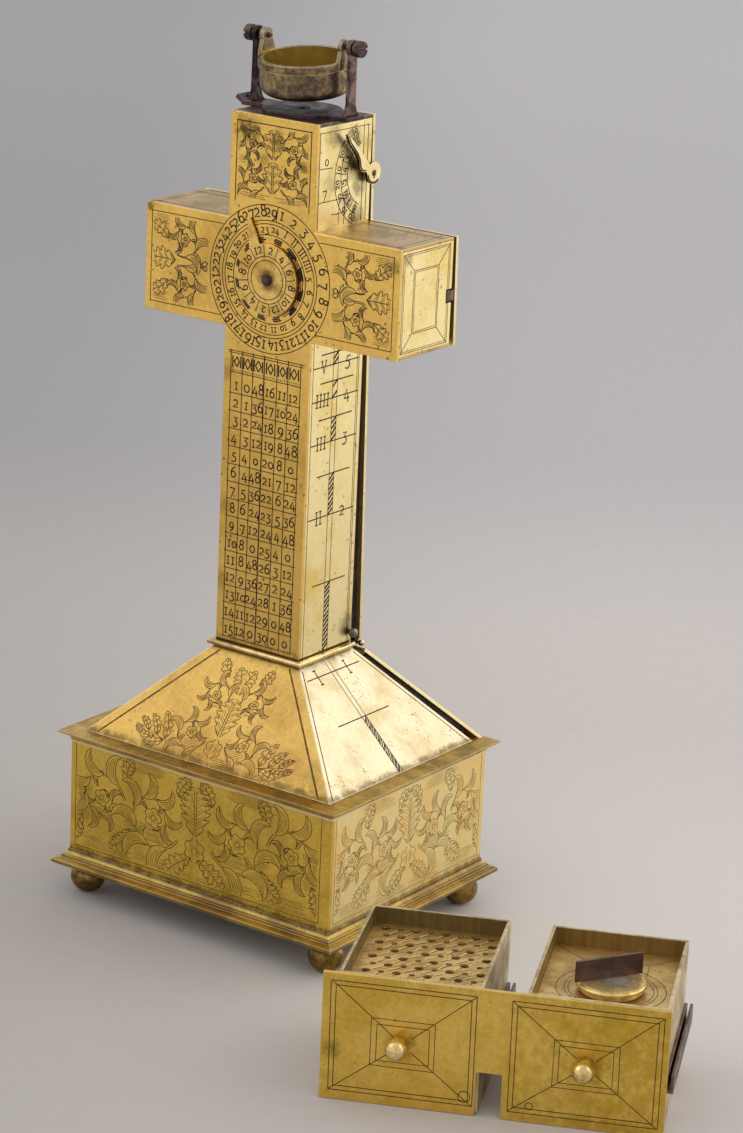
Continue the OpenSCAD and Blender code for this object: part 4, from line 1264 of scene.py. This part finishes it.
@dataclass
class WritingDrawer:
    """Lines on the drawer's front and on the two plates inside its boxes."""

    panels: tuple[tuple[float, float, float, float], ...] = ((2.3, 2.5, 40.4, 33.4), (49.6, 2.5, 88.6, 33.4))
    tray_z: float = 30.7
    first_hole: Pair = (8.4, 5.2)
    hole_step: Pair = (4.1, 4.75)
    hole_columns: int = 8
    hole_rows: int = 9
    stroke_end: float = 44.0
    lid_at: Pair = (72.3, 20.5)
    ink_lines: tuple[tuple[Pair, Pair], ...] = (
        ((54.4, 45.6), (62.4, 38.4)), ((88.4, 45.6), (80.4, 38.4)), ((62.4, 38.4), (62.4, 31.0)),
        ((80.4, 38.4), (80.4, 31.0)), ((62.4, 38.4), (80.4, 38.4)),
    )

    def front(self) -> Pen:
        """Cuts two panels: a double frame, its diagonals and a smaller double frame round the knob.

        Returns:
            The face's pen.
        """
        pen = Pen(Face(DRAWER_AT, DRAWER_U, (0, 0, 1)), 0.24, 21)
        for left, low, right, high in self.panels:
            field = corners(left, low, right, high)
            outer = pen.frame(field, (0.0, 1.3))[1]
            centre = np.array([(left + right) / 2 + 0.2, (low + high) / 2 - 0.5])
            pen.frame(centre + (outer - outer.mean(0)) * 0.47, (0.0, 1.5), 0.2)
            for a in field:
                pen.cut(a, centre + (a - centre) * 0.12)
        for at, radius in (((38.2, 5.0), 1.6), ((55.2, 4.6), 1.0)):
            pen.ring(at, radius, 0.24)
        return pen

    def hole_steps(self) -> list[tuple[Points, Points, float]]:
        """Each of the sander's holes: its place, the way to its neighbour in the next row, and its radius."""
        (x, y), (across, up) = self.first_hole, self.hole_step
        found = []
        for j in range(self.hole_rows):
            odd = j % 2
            way = np.array([across * (0.75 if odd else 1.25), up])
            for i in range(self.hole_columns):
                at = np.array([x + i * across + odd * across / 4, y + j * up])
                found.append((at, way, 0.95 if (i + j) % 2 == 0 else 0.55))
        return found

    def sander(self) -> Pen:
        """Cuts a bright stroke from each of the sander's holes towards its neighbour in the next row.

        Returns:
            The face's pen.
        """
        pen = Pen(self.top_face(), 0.5, 22)
        for at, way, radius in self.hole_steps():
            if at[1] + way[1] < self.stroke_end:
                pen.cut(at + way * (0.14 + radius / 6), at + way * 0.8, width=0.44)
        return pen

    def sander_lines(self) -> Pen:
        """Cuts the scribe lines across the sander's holes, and paints shade: a dark ring round each hole and a dark
        line beside each stroke.

        Returns:
            The face's pen.
        """
        pen = Pen(self.top_face(), 0.2, 24, 0.02)
        # Painted shadow: where the dark line beside each bright stroke lies.
        beside = (0.3, -0.24)
        for at, way, radius in self.hole_steps():
            # Painted shade: a dark ring round the hole.
            pen.ring(at, radius + 0.14, 0.34)
            if at[1] + way[1] < self.stroke_end:
                pen.cut(at + way * 0.3 + beside, at + way * 0.8 + beside, width=0.34)
        for i in range(-5, 10):
            start = 6.8 + self.hole_step[1] * i
            clipped = self.clip((5.2, start), (40.4, start + 24.0), 2.6, 45.8)
            if clipped:
                pen.cut(*clipped)
        return pen

    def ink(self) -> Pen:
        """Cuts the rings round the ink lid and the lines from the plate's corners.

        Returns:
            The face's pen.
        """
        pen = Pen(self.top_face(), 0.2, 23)
        for radius in (11.2, 12.2, 14.4):
            pen.ring(self.lid_at, radius, 0.2)
        for a, b in self.ink_lines:
            pen.cut(a, b, width=0.18)
        return pen

    def top_face(self) -> Face:
        """The plane of the plates inside the boxes."""
        return Face((DRAWER_AT[0], DRAWER_AT[1], self.tray_z), DRAWER_U, DRAWER_V)

    @staticmethod
    def clip(a: Pair, b: Pair, low: float, high: float) -> tuple[Pair, ...] | None:
        """Cuts a line to the strip between two levels of its second number, or drops it where little is left.

        Args:
            a: the line's low end.
            b: its high end.
            low: the strip's low edge.
            high: its high edge.

        Returns:
            The ends of what is left, or None.
        """
        slope = (b[0] - a[0]) / (b[1] - a[1])
        y = np.clip([a[1], b[1]], low, high)
        if y[1] - y[0] < 1.0:
            return None
        return tuple((a[0] + slope * (v - a[1]), v) for v in y)


# Finishes

# Gilding over brass on the front: warm gold, a little cloudy, with dark specks and old dirt at the head's top.
GILT_FRONT = Metal("fire_gilt_front", "f9cd6d", "e6ba5e", 24, 0.3, 0.3, 0.14, "5a4a20", pits=0.6, marks=(
    Soil(Axis.Z, 84, 78.5, 0.5), Stain((0, -12.5, 188.5), 12.5, 0.3),
    Stain((-14.6, -12.5, 160), 5, 0.3), Stain((-14.6, -12.5, 98), 6, 0.3),
    Stain((-9, -12.5, 229.5), 7, 0.75), Stain((1.5, -12.5, 227.5), 5, 0.6),
    Stain((-3, -12.5, 222), 3.2, 0.45), Stain((10.8, -12.5, 221.5), 2.6, 0.6),
    Stain((-43, -12.5, 203), 2.6, 0.9), Stain((41.6, -12.5, 198.5), 4.2, 0.5),
    Stain((-13.5, -12.5, 120), 5, 0.35)))
# The same gilding as a paler copy, painted highlight for the side faces towards the key lamp: pale gold, with a
# stain at the pin hole and dirt on the head.
GILT_PAINTED_LIT = Metal("fire_gilt_painted_highlight", "feebae", "f2d683", 18, 0.25, 0.3, 0.12, pits=0.4, grain=0.08, marks=(
    Stain((15, 10.5, 86), 6, 0.6), Soil(Axis.Z, 82, 79, 0.5), Stain((15, 4.5, 228), 5.5, 0.6),
    Stain((15, 2, 211), 4, 0.55), Stain((15, 7, 214), 5, 0.55), Stain((15, 3, 221), 6, 0.5),
    Stain((15, -5, 230), 6, 0.4), Stain((15, 7, 207), 5, 0.5), Stain((15, -6, 217), 6, 0.3),
    # The two patches at z 204.4 are painted shade where the head's side meets the arm's top.
    Stain((15, 11.5, 226), 4, 0.3), Stain((15, -5, 204.4), 4, 0.45), Stain((15, 5, 204.4), 4, 0.5),
    Stain((44.4, -9, 201), 3.4, 0.4)))
# Covers at the back: a pale copy of the gilding, painted highlight for their edges towards the key lamp, cloudier
# on the broad sheet.
GILT_BACK = Metal("fire_gilt_back_painted_highlight", "fee9ac", "f0d080", 20, 0.3, 0.3, 0.14, "5a4a20", pits=0.5)
# The hand: a pale copy of the gilding on its face as painted highlight, and painted shade in dark brown on its
# sides.
GILT_HAND = Metal("fire_gilt_hand", "fdeeb8", "f6dc94", 6, 0.25, 0.26, 0.12, grain=0.06, marks=(
    Soil(Axis.X, 17.3, 17.05, 1.0, "2c1c10"),))
# Front slope: mid gold that browns along the cornice.
GILT_ROOF = Metal("fire_gilt_roof_front", "d6b062", "c69d54", 26, 0.3, 0.34, 0.12, "5f4c22", pits=0.35, marks=(
    Soil(Axis.Z, 53.2, 50.2, 0.75), Soil(Axis.Z, 75, 79, 0.3), Stain((36, -30, 54), 9, 0.35)))
# Side slopes: a nearly cream copy of the roof's gilding, painted highlight for slopes that face the key lamp,
# speckled with pits, darker at both seams.
GILT_ROOF_SIDE = Metal(
    "fire_gilt_roof_side_painted_highlight", "eee0bc", "e6d3a4", 12, 0.3, 0.42, 0.14, "6a5024", pits=0.85, pit_gap=1.0, grain=0.06,
    marks=(Soil(Axis.Z, 52.6, 50.2, 0.7), Soil(Axis.Z, 75.5, 79, 0.6), Stain((36, -14, 57), 7, 0.12)))
# Handled upper sides of the arms: brownish gold with rubbed patches.
WORN_GILT = Metal("worn_gilt_arm_top", "cdae76", "b0966a", 14, 0.4, 0.32, 0.16, pits=0.6)
# Cap under the compass: gilding gone, purple brown.
BROWNED_CAP = Metal("browned_brass_cap", "8a7468", "5e4c50", 6, 0.5, 0.42, 0.18, "2c2026", pits=0.5)
# Drawn mouldings: olive gold, darker in the grooves.
COLLAR = Metal("drawn_brass_collar", "ead498", "a88c5c", 9, 0.35, 0.16, 0.12, pits=0.3, marks=(
    Soil(Axis.Z, 79.2, 78.2, 0.7),))
CORNICE = Metal("tarnished_brass_cornice", "dcb559", "b08e48", 11, 0.4, 0.34, 0.16, pits=0.3, marks=(
    Soil(Axis.Z, 49.2, 51.2, 0.35),))
PLINTH = Metal("tarnished_brass_plinth", "b29656", "8e7446", 14, 0.4, 0.26, 0.1, "34242a", pits=0.3, marks=(
    Soil(Axis.Z, 12.0, 14.4, 0.8),))
# Base walls: deep olive gold in front; on the sides a pinkish pale copy, painted highlight for walls that face the
# key lamp.
BASE_FRONT = Metal("old_brass_base_front", "f3cb5b", "dab44c", 18, 0.4, 0.36, 0.14, "56451c", grain=0.18, marks=(
    Soil(Axis.Z, 16.4, 13, 0.7), Soil(Axis.Z, 47.2, 50, 0.5)))
BASE_SIDE = Metal("old_brass_base_side_painted_highlight", "ffeaa4", "ffdc8e", 14, 0.3, 0.3, 0.12, "6a5228", grain=0.06, marks=(
    Soil(Axis.Z, 16.0, 13, 0.5), Soil(Axis.Z, 47.4, 50, 0.4)))
# Turned feet: dark olive brass with a soft gleam.
FEET = Metal("cast_brass_feet", "a48744", "6a532c", 5, 0.5, 0.26, 0.16)
# Compass yoke: purple brown bronze, the left pillar nearly black.
BRONZE = Metal(
    "patinated_bronze", "8a7068", "4a3c42", 3, 0.5, 0.34, 0.2, "241c20", pits=0.6, pit_gap=1.2, metallic=0.9,
    worn="c09a80", marks=(Stain((-17, 0, 248), 32, 0.9),))
YOKE_BASE = Metal(
    "purple_bronze_yoke", "5e4c4e", "3a2e34", 5, 0.5, 0.4, 0.2, "1c161a", pits=0.5, metallic=0.9, worn="8a7468")
# Compass bowl: mottled outside, olive gold inside, with a greyed rim, and painted shade in two dark purple patches
# at its right end by the pillar.
BOWL = Metal(
    "mottled_bronze_bowl", "b69f70", "7e6a58", 1.9, 0.5, 0.28, 0.22, "2c2238", pits=0.55, pit_gap=0.8, grain=0.5,
    metallic=0.95, worn="ecd9a0", marks=(
        Soil(Axis.Z, 243, 238.5, 0.6), Stain((-5, -12.4, 242), 5, 0.5, "ccb06a"),
        # Painted shade: the two dark purple patches at the bowl's right end.
        Stain((8, -10.5, 243), 8, 0.45, "4c3e46"), Stain((13, -3, 243), 8, 0.5, "3c3038"),
        Hollow((0, 0, 243), 1.0, "b8a055"), Soil(Axis.Z, 249.9, 250.9, 1.0, "988a78")))
# Drawer front: even yellow brass, browner round the knobs, olive towards its right end.
DRAWER = Metal("drawer_front_brass", "f4cf68", "e2ba50", 20, 0.35, 0.32, 0.12, "8a7424", pits=0.35, marks=(
    Soil(Axis.X, 96, 200, 0.7, "b89630"), Stain((94.4, -98, 14.5), 4.5, 0.75, "8c8224"),
    Stain((110.6, -90.4, 17), 6.5, 0.55, "8a6a2a"), Stain((154.5, -69.7, 17), 6.5, 0.55, "8a6a2a")))
KNOB = Metal("turned_brass_knob", "f2da9c", "cda85a", 3, 0.3, 0.16, 0.1)
# Ball of the retaining pin: grey and dull.
PEWTER = Metal("greyed_pin", "a09684", "6f665a", 2.4, 0.5, 0.3, 0.16, worn="")
# Plates in the boxes: dull brass, browner round the ink lid.
TRAY = Metal("dull_brass_plate", "ecc880", "c8a466", 9, 0.4, 0.38, 0.16, "5c5034", pits=0.5, marks=(
    Stain((147.0, -50.0, 31.0), 30, 0.45, "a89260"),))
# Boxes: pale and striped outside, painted shade in brown on the walls inside, and bright rims, part bare metal and
# part painted highlight. The stripes run down the walls.
SANDER_BOX = Metal(
    "drawn_brass_box", "e4d2ac", "bfab8a", 8, 0.45, 0.38, 0.2, "57503e", pits=0.3, brush=(30, 30, 1), worn="ffe9a6",
    marks=(Hollow((101.8, -67.8, 17.7), 1.0, "86754e"),))
INK_BOX = replace(
    SANDER_BOX, name="drawn_brass_ink_box", base="ead8b0",
    marks=(Hollow((145.7, -47.1, 17.7), 1.0, "9c8450"),))
# Small iron and bronze parts, browned.
IRON = Metal(
    "browned_iron", "6a564c", "44353a", 3, 0.5, 0.36, 0.2, "201818", metallic=0.85, worn="8a7264")
# Flanges inside the covers: painted shade for the gap between cover and case, dark, with no gleam.
FLANGE = Metal("flange_painted_shade", "3c2c28", "261c1e", 5, 0.5, 0.55, 0.2, "18100f", metallic=0.5, worn="")
INSIDE = Metal("bare_brass_inside", "9c8560", "6f5c44", 9, 0.5, 0.5, 0.2)
# Runners and the lid's fin: dark purple brown, painted shade for where they stand, with pale edges, part painted
# highlight.
PURPLE = Metal("dark_purple_brown", "745a58", "5c4846", 6, 0.4, 0.32, 0.2, "2c2028", metallic=0.85, worn="c9a884")
# Ink lid: grey solder in the middle, bright gold at its rim.
LID = Metal(
    "worn_brass_lid", "fbdc90", "d4b068", 3.2, 0.4, 0.22, 0.16, "6b6454", pits=0.5, pit_gap=1.2, metallic=0.7,
    worn="ffe9a8", marks=(
        Stain((148.15, -50, 34.2), 10.5, 0.95, "a8a088"), Stain((149.4, -49.4, 33.5), 4.6, 0.9, "dcdad8")))
# Turning disc: brighter gold with a dark stain at the rivet.
DISC = Metal("fire_gilt_disc", "f8d078", "dcae58", 7, 0.35, 0.3, 0.14, "4a3818", pits=0.5, pit_gap=1.3, marks=(
    Stain((0, -13.6, 188.5), 5.2, 0.8), Stain((4.5, -13.6, 186.5), 3, 0.4)))

WEARS: dict[Metal, str] = {
    GILT_FRONT: "front_plate",
    GILT_PAINTED_LIT: "shaft_side_right shaft_side_left head_side_right head_side_left arm_end_left arm_end_right",
    GILT_BACK: "back_cover roof_flap",
    GILT_HAND: "index_hand",
    GILT_ROOF: "roof_front",
    GILT_ROOF_SIDE: "roof_right roof_left",
    WORN_GILT: "arm_top_left arm_top_right arm_underside_left arm_underside_right",
    BROWNED_CAP: "head_cap",
    COLLAR: "collar_plate",
    CORNICE: "cornice_strips flap_cornice",
    PLINTH: "plinth_strips",
    BASE_FRONT: "base_front",
    BASE_SIDE: "base_right base_left",
    FEET: "ball_feet",
    BRONZE: "yoke_pillars cover_catches",
    YOKE_BASE: "yoke_base",
    BOWL: "compass_bowl",
    DRAWER: "drawer_front",
    KNOB: "drawer_knobs hinge_pin",
    PEWTER: "retaining_pin",
    TRAY: "sander_plate ink_plate ink_pot",
    SANDER_BOX: "sander_box",
    INK_BOX: "ink_box",
    IRON: "pivot_screws yoke_screw dial_rivet hand_rivet dial_washer hinge_bracket foot_rivets",
    FLANGE: "cover_flange flap_flange",
    INSIDE: "base_floor drawer_rails",
    PURPLE: "lid_fin drawer_runners",
    LID: "ink_lid",
    DISC: "lunar_disc",
}

# Fillings of the cut lines: nearly black on the dials, brown on scrollwork, olive on old brass, faint on the
# base's sides, and bright bare metal for the sander's strokes. The dark and brown ones also colour the
# painted shade lines at the hand, round the disc and on the sander.
DARK_CUT = CutLine("cut_line_and_painted_shade_dark", "1c130a", "3d2a12")
BROWN_CUT = CutLine("cut_line_and_painted_shade_brown", "4e3614", "86622a", 0.5)
OLIVE_CUT = CutLine("cut_line_olive", "33250e", "644c20", 0.4)
FAINT_CUT = CutLine("cut_line_faint", "82622e", "c09c56", 0.6)
BRIGHT_CUT = CutLine("cut_line_bright", "e2bc62", "fbe39a", 0.35, 0.35)

# What finishes a packed sheet's mesh: its triangles are welded, flat ones joined and its edges broken.
MODIFIERS = (
    ("weld", "WELD", {"merge_threshold": 1e-6}),
    ("flat_faces", "DECIMATE", {"decimate_type": "DISSOLVE", "angle_limit": math.radians(0.4)}),
    ("worn_edge", "BEVEL", {"width": 0.16 * MM, "segments": 2, "limit_method": "ANGLE",
                            "angle_limit": math.radians(35), "harden_normals": True}),
    ("face_normals", "WEIGHTED_NORMAL", {"keep_sharp": False}),
)


class Finishes:
    """Every finish of the part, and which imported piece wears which."""

    def __init__(self) -> None:
        """Makes the materials: one for each metal, and the lines' fillings."""
        self.by_node: dict[str, Material] = {}
        for metal, names in WEARS.items():
            self.by_node.update(dict.fromkeys(names.split(), metal.build()))
        self.filling = {line: line.build() for line in (DARK_CUT, BROWN_CUT, OLIVE_CUT, FAINT_CUT, BRIGHT_CUT)}

    def dress(self) -> None:
        """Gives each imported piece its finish, welds its triangles and breaks its edges."""
        for name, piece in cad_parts.items():
            material = self.by_node[name]
            for place in piece.material_slots:
                place.material = material
            if not piece.material_slots:
                piece.data.materials.append(material)
            for label, kind, settings in MODIFIERS:
                added = piece.modifiers.new(label, kind)
                for key, value in settings.items():
                    setattr(added, key, value)
            log.info("%s wears %s", name, material.name)


# Studio


@dataclass
class Studio:
    """The camera of the view, a pale floor and soft lamps."""

    azimuth: float = 35.478
    elevation: float = 17.385
    roll: float = 2.513
    target: Pair = (24.63, 103.20)
    distance: float = 1027.18
    focal_pixels: float = 3570.9
    image_height: float = 1133.0
    sensor: float = 36.0
    floor_half: float = 2600.0
    floor_near: str = "c0bab7"
    floor_far: str = "afacae"
    floor_fade: Pair = (0.24, 0.52)
    # Painted pools of light on the floor: middle in metres, inner and outer radius, tone.
    pale_spots: tuple[tuple[Pair, float, float, str], ...] = (
        ((0.62, 0.72), 0.35, 0.75, "f4f0e8"),
        ((-0.66, -0.92), 0.42, 0.74, "f6f2ea"),
        ((0.10, 0.07), 0.02, 0.17, "d9d3ce"),
    )
    floor_z: float = -0.15

    @staticmethod
    def hang(name: str, data: bpy.types.ID, axes: Points, at: Points) -> bpy.types.Object:
        """Puts a camera or a lamp in the scene, with its axes as columns and its place in metres.

        Args:
            name: the object's name.
            data: the camera's or the lamp's data.
            axes: its axes as columns.
            at: its place in metres.

        Returns:
            The object.
        """
        hung = bpy.data.objects.new(name, data)
        bpy.context.scene.collection.objects.link(hung)
        hung.matrix_world = Matrix([[*row, p] for row, p in zip(axes, at)] + [[0, 0, 0, 1]])
        return hung

    def camera(self) -> None:
        """Sets the camera: it looks along the view's axis at a point beside the cross, rolled a little."""
        az, el, roll = (math.radians(a) for a in (self.azimuth, self.elevation, self.roll))
        back = np.array([math.sin(az) * math.cos(el), -math.cos(az) * math.cos(el), math.sin(el)])
        right = np.array([math.cos(az), math.sin(az), 0.0])
        up = np.cross(back, right)
        x_axis = math.cos(roll) * right + math.sin(roll) * up
        y_axis = -math.sin(roll) * right + math.cos(roll) * up
        at = back * self.distance + right * self.target[0] + np.array([0, 0, self.target[1]])
        data = bpy.data.cameras.new("camera")
        data.sensor_fit, data.sensor_height, data.sensor_width = "VERTICAL", self.sensor, self.sensor
        data.lens = self.focal_pixels / self.image_height * self.sensor
        data.clip_start, data.clip_end = 0.05, 20.0
        bpy.context.scene.camera = self.hang("camera", data, np.stack([x_axis, y_axis, back], 1), at * MM)

    def paper(self) -> Material:
        """Makes the floor's finish: grey card with painted light, darker away from the lamps, lighter towards the
        key lamp's side and far off, with painted pools of light.

        Returns:
            The floor's material.
        """
        material, tree = blank("paper_floor")
        place = node(tree, "TexCoord", out="Object")
        turn = {"Vector": place, "Angle": -math.radians(self.azimuth)}
        turned = node(tree, "VectorRotate", turn, rotation_type="Z_AXIS")
        across, away = (node(tree, "SeparateXYZ", (turned,), axis.value) for axis in (Axis.X, Axis.Y))
        far = node(tree, "MapRange", (away, *self.floor_fade), **SMOOTH)
        tones = {0: far, 6: linear(self.floor_near), 7: linear(self.floor_far)}
        colour = node(tree, "Mix", tones, 2, **COAT)
        shade = node(tree, "MapRange", (across, -0.16, 0.14, 0.86, 1.16), **SMOOTH)
        weave = node(tree, "MapRange", (node(tree, "TexNoise", PAPER.at(place)), 0.3, 0.7, 1.0, 0.975), **SMOOTH)
        beyond = node(tree, "MapRange", (away, 0.9, 1.7, 1.0, 1.15), **SMOOTH)
        for factor in (weave, beyond):
            shade = node(tree, "Math", (shade, factor), operation="MULTIPLY")
        colour = node(tree, "Mix", {0: 1.0, 6: colour, 7: shade}, 2, **SHADE)
        for centre, inner, outer, tone in self.pale_spots:
            reach = node(tree, "VectorMath", (place, (*centre, 0.0)), "Value", operation="DISTANCE")
            spot = node(tree, "MapRange", (reach, outer, inner), **SMOOTH)
            colour = node(tree, "Mix", {0: spot, 6: colour, 7: linear(tone)}, 2, **COAT)
        shader = node(tree, "BsdfPrincipled", {"Base Color": colour, "Roughness": 0.9})
        node(tree, "OutputMaterial", {"Surface": shader})
        return material

    def floor(self) -> None:
        """Lays the floor: one flat square sheet."""
        half = self.floor_half * MM
        flat = corners(-half, -half, half, half)
        mesh = bpy.data.meshes.new("floor")
        mesh.from_pydata(np.column_stack([flat, np.full(4, self.floor_z * MM)]), [], [(0, 1, 2, 3)])
        mesh.materials.append(self.paper())
        sheet = bpy.data.objects.new("floor", mesh)
        bpy.context.scene.collection.objects.link(sheet)

    def lamp(self, name: str, aim: Triple, far: float, size: float, power: float, tint: str) -> None:
        """Hangs a square soft lamp in a direction from the cross, facing it.

        Args:
            name: the lamp's name.
            aim: direction from the cross to the lamp.
            far: its distance in metres.
            size: its side in metres.
            power: its power in watts.
            tint: its colour.
        """
        way = np.array(aim, float) / np.linalg.norm(aim)
        data = bpy.data.lights.new(name, "AREA")
        data.shape, data.size, data.energy, data.color = "SQUARE", size, power, linear(tint)[:3]
        side = np.cross((0, 0, 1), way)
        side /= np.linalg.norm(side)
        at = way * far + np.array([0, 0, 0.12])
        self.hang(name, data, np.stack([side, np.cross(way, side), way], 1), at)

    def light(self) -> None:
        """Lights the room: a grey world, a key lamp behind on the right and a weaker one in front on the left."""
        world = bpy.data.worlds.new("room")
        world.use_nodes = True
        room = world.node_tree.nodes["Background"].inputs
        room[0].default_value, room[1].default_value = linear("ffffff"), 0.75
        bpy.context.scene.world = world
        self.lamp("key", (0.6, 0.62, 0.5), 1.6, 1.8, 9.2, "fffaf2")
        self.lamp("fill", (-0.55, -0.46, 0.69), 1.8, 1.4, 4.0, "fffaf4")
        bpy.context.scene.view_settings.view_transform = "Standard"


def cuttings() -> list[tuple[Pen, str, str, CutLine]]:
    """Cuts every face, and paints shade lines at the index hand, round the disc and on the sander.

    Returns:
        Each face's pen, the name of its piece, the body that carries it and the filling of its lines.
    """
    table, dial, index, cross, foot, drawer = (
        HourTable(), LunarDial(), IndexScale(), CrossDress(), FootDress(), WritingDrawer())
    front, right, left = Pen(FRONT, 0.24, 2), Pen(RIGHT, 0.24, 5), Pen(LEFT, 0.24, 9)
    table.cut(front)
    cross.front(front)
    HourScale().cut(right)
    index.cut(right)
    HourScale((("VII", "7"), ("VIII", "8"), ("IX", "9"), ("X", "10"))).cut(left)
    return [
        (front, "front_cutting", "case", DARK_CUT),
        (dial.fixed(), "dial_cutting_and_painted_disc_shadow", "case", DARK_CUT),
        (dial.disc(), "disc_cutting", "lunar_disc", DARK_CUT),
        (right, "side_cutting", "case", DARK_CUT),
        (index.hand(), "hand_edge_painted_shade", "index_hand", DARK_CUT),
        (left, "left_side_cutting", "case", DARK_CUT),
        (cross.end(1), "right_end_cutting", "case", BROWN_CUT),
        (cross.end(-1), "left_end_cutting", "case", BROWN_CUT),
        (cross.level(ARM_TOP, 1), "arm_top_cutting", "case", BROWN_CUT),
        (cross.level(ARM_LOW, -1), "arm_underside_cutting", "case", BROWN_CUT),
        (cross.back(), "back_cutting", "cover", BROWN_CUT),
        (foot.roof_front(), "roof_front_cutting", "case", BROWN_CUT),
        (foot.roof_side(1), "roof_right_cutting", "case", DARK_CUT),
        (foot.roof_side(-1), "roof_left_cutting", "case", DARK_CUT),
        (foot.flap(), "flap_cutting", "flap", BROWN_CUT),
        (foot.base_front(), "base_front_cutting", "case", OLIVE_CUT),
        (foot.base_side(1), "base_right_cutting", "case", FAINT_CUT),
        (foot.base_side(-1), "base_left_cutting", "case", FAINT_CUT),
        (drawer.front(), "drawer_front_cutting", "drawer", OLIVE_CUT),
        (drawer.sander(), "sander_strokes", "drawer", BRIGHT_CUT),
        (drawer.sander_lines(), "sander_cutting_and_painted_shade", "drawer", BROWN_CUT),
        (drawer.ink(), "ink_plate_cutting", "drawer", OLIVE_CUT),
    ]


def main() -> None:
    """Dresses the part, cuts its faces and sets the studio."""
    logging.basicConfig(level=logging.INFO, format="%(message)s")
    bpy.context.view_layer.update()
    finishes = Finishes()
    finishes.dress()
    for pen, name, body, line in cuttings():
        pen.build(name, body, finishes.filling[line])
    studio = Studio()
    studio.camera()
    studio.floor()
    studio.light()


if __name__ == "__main__":
    main()
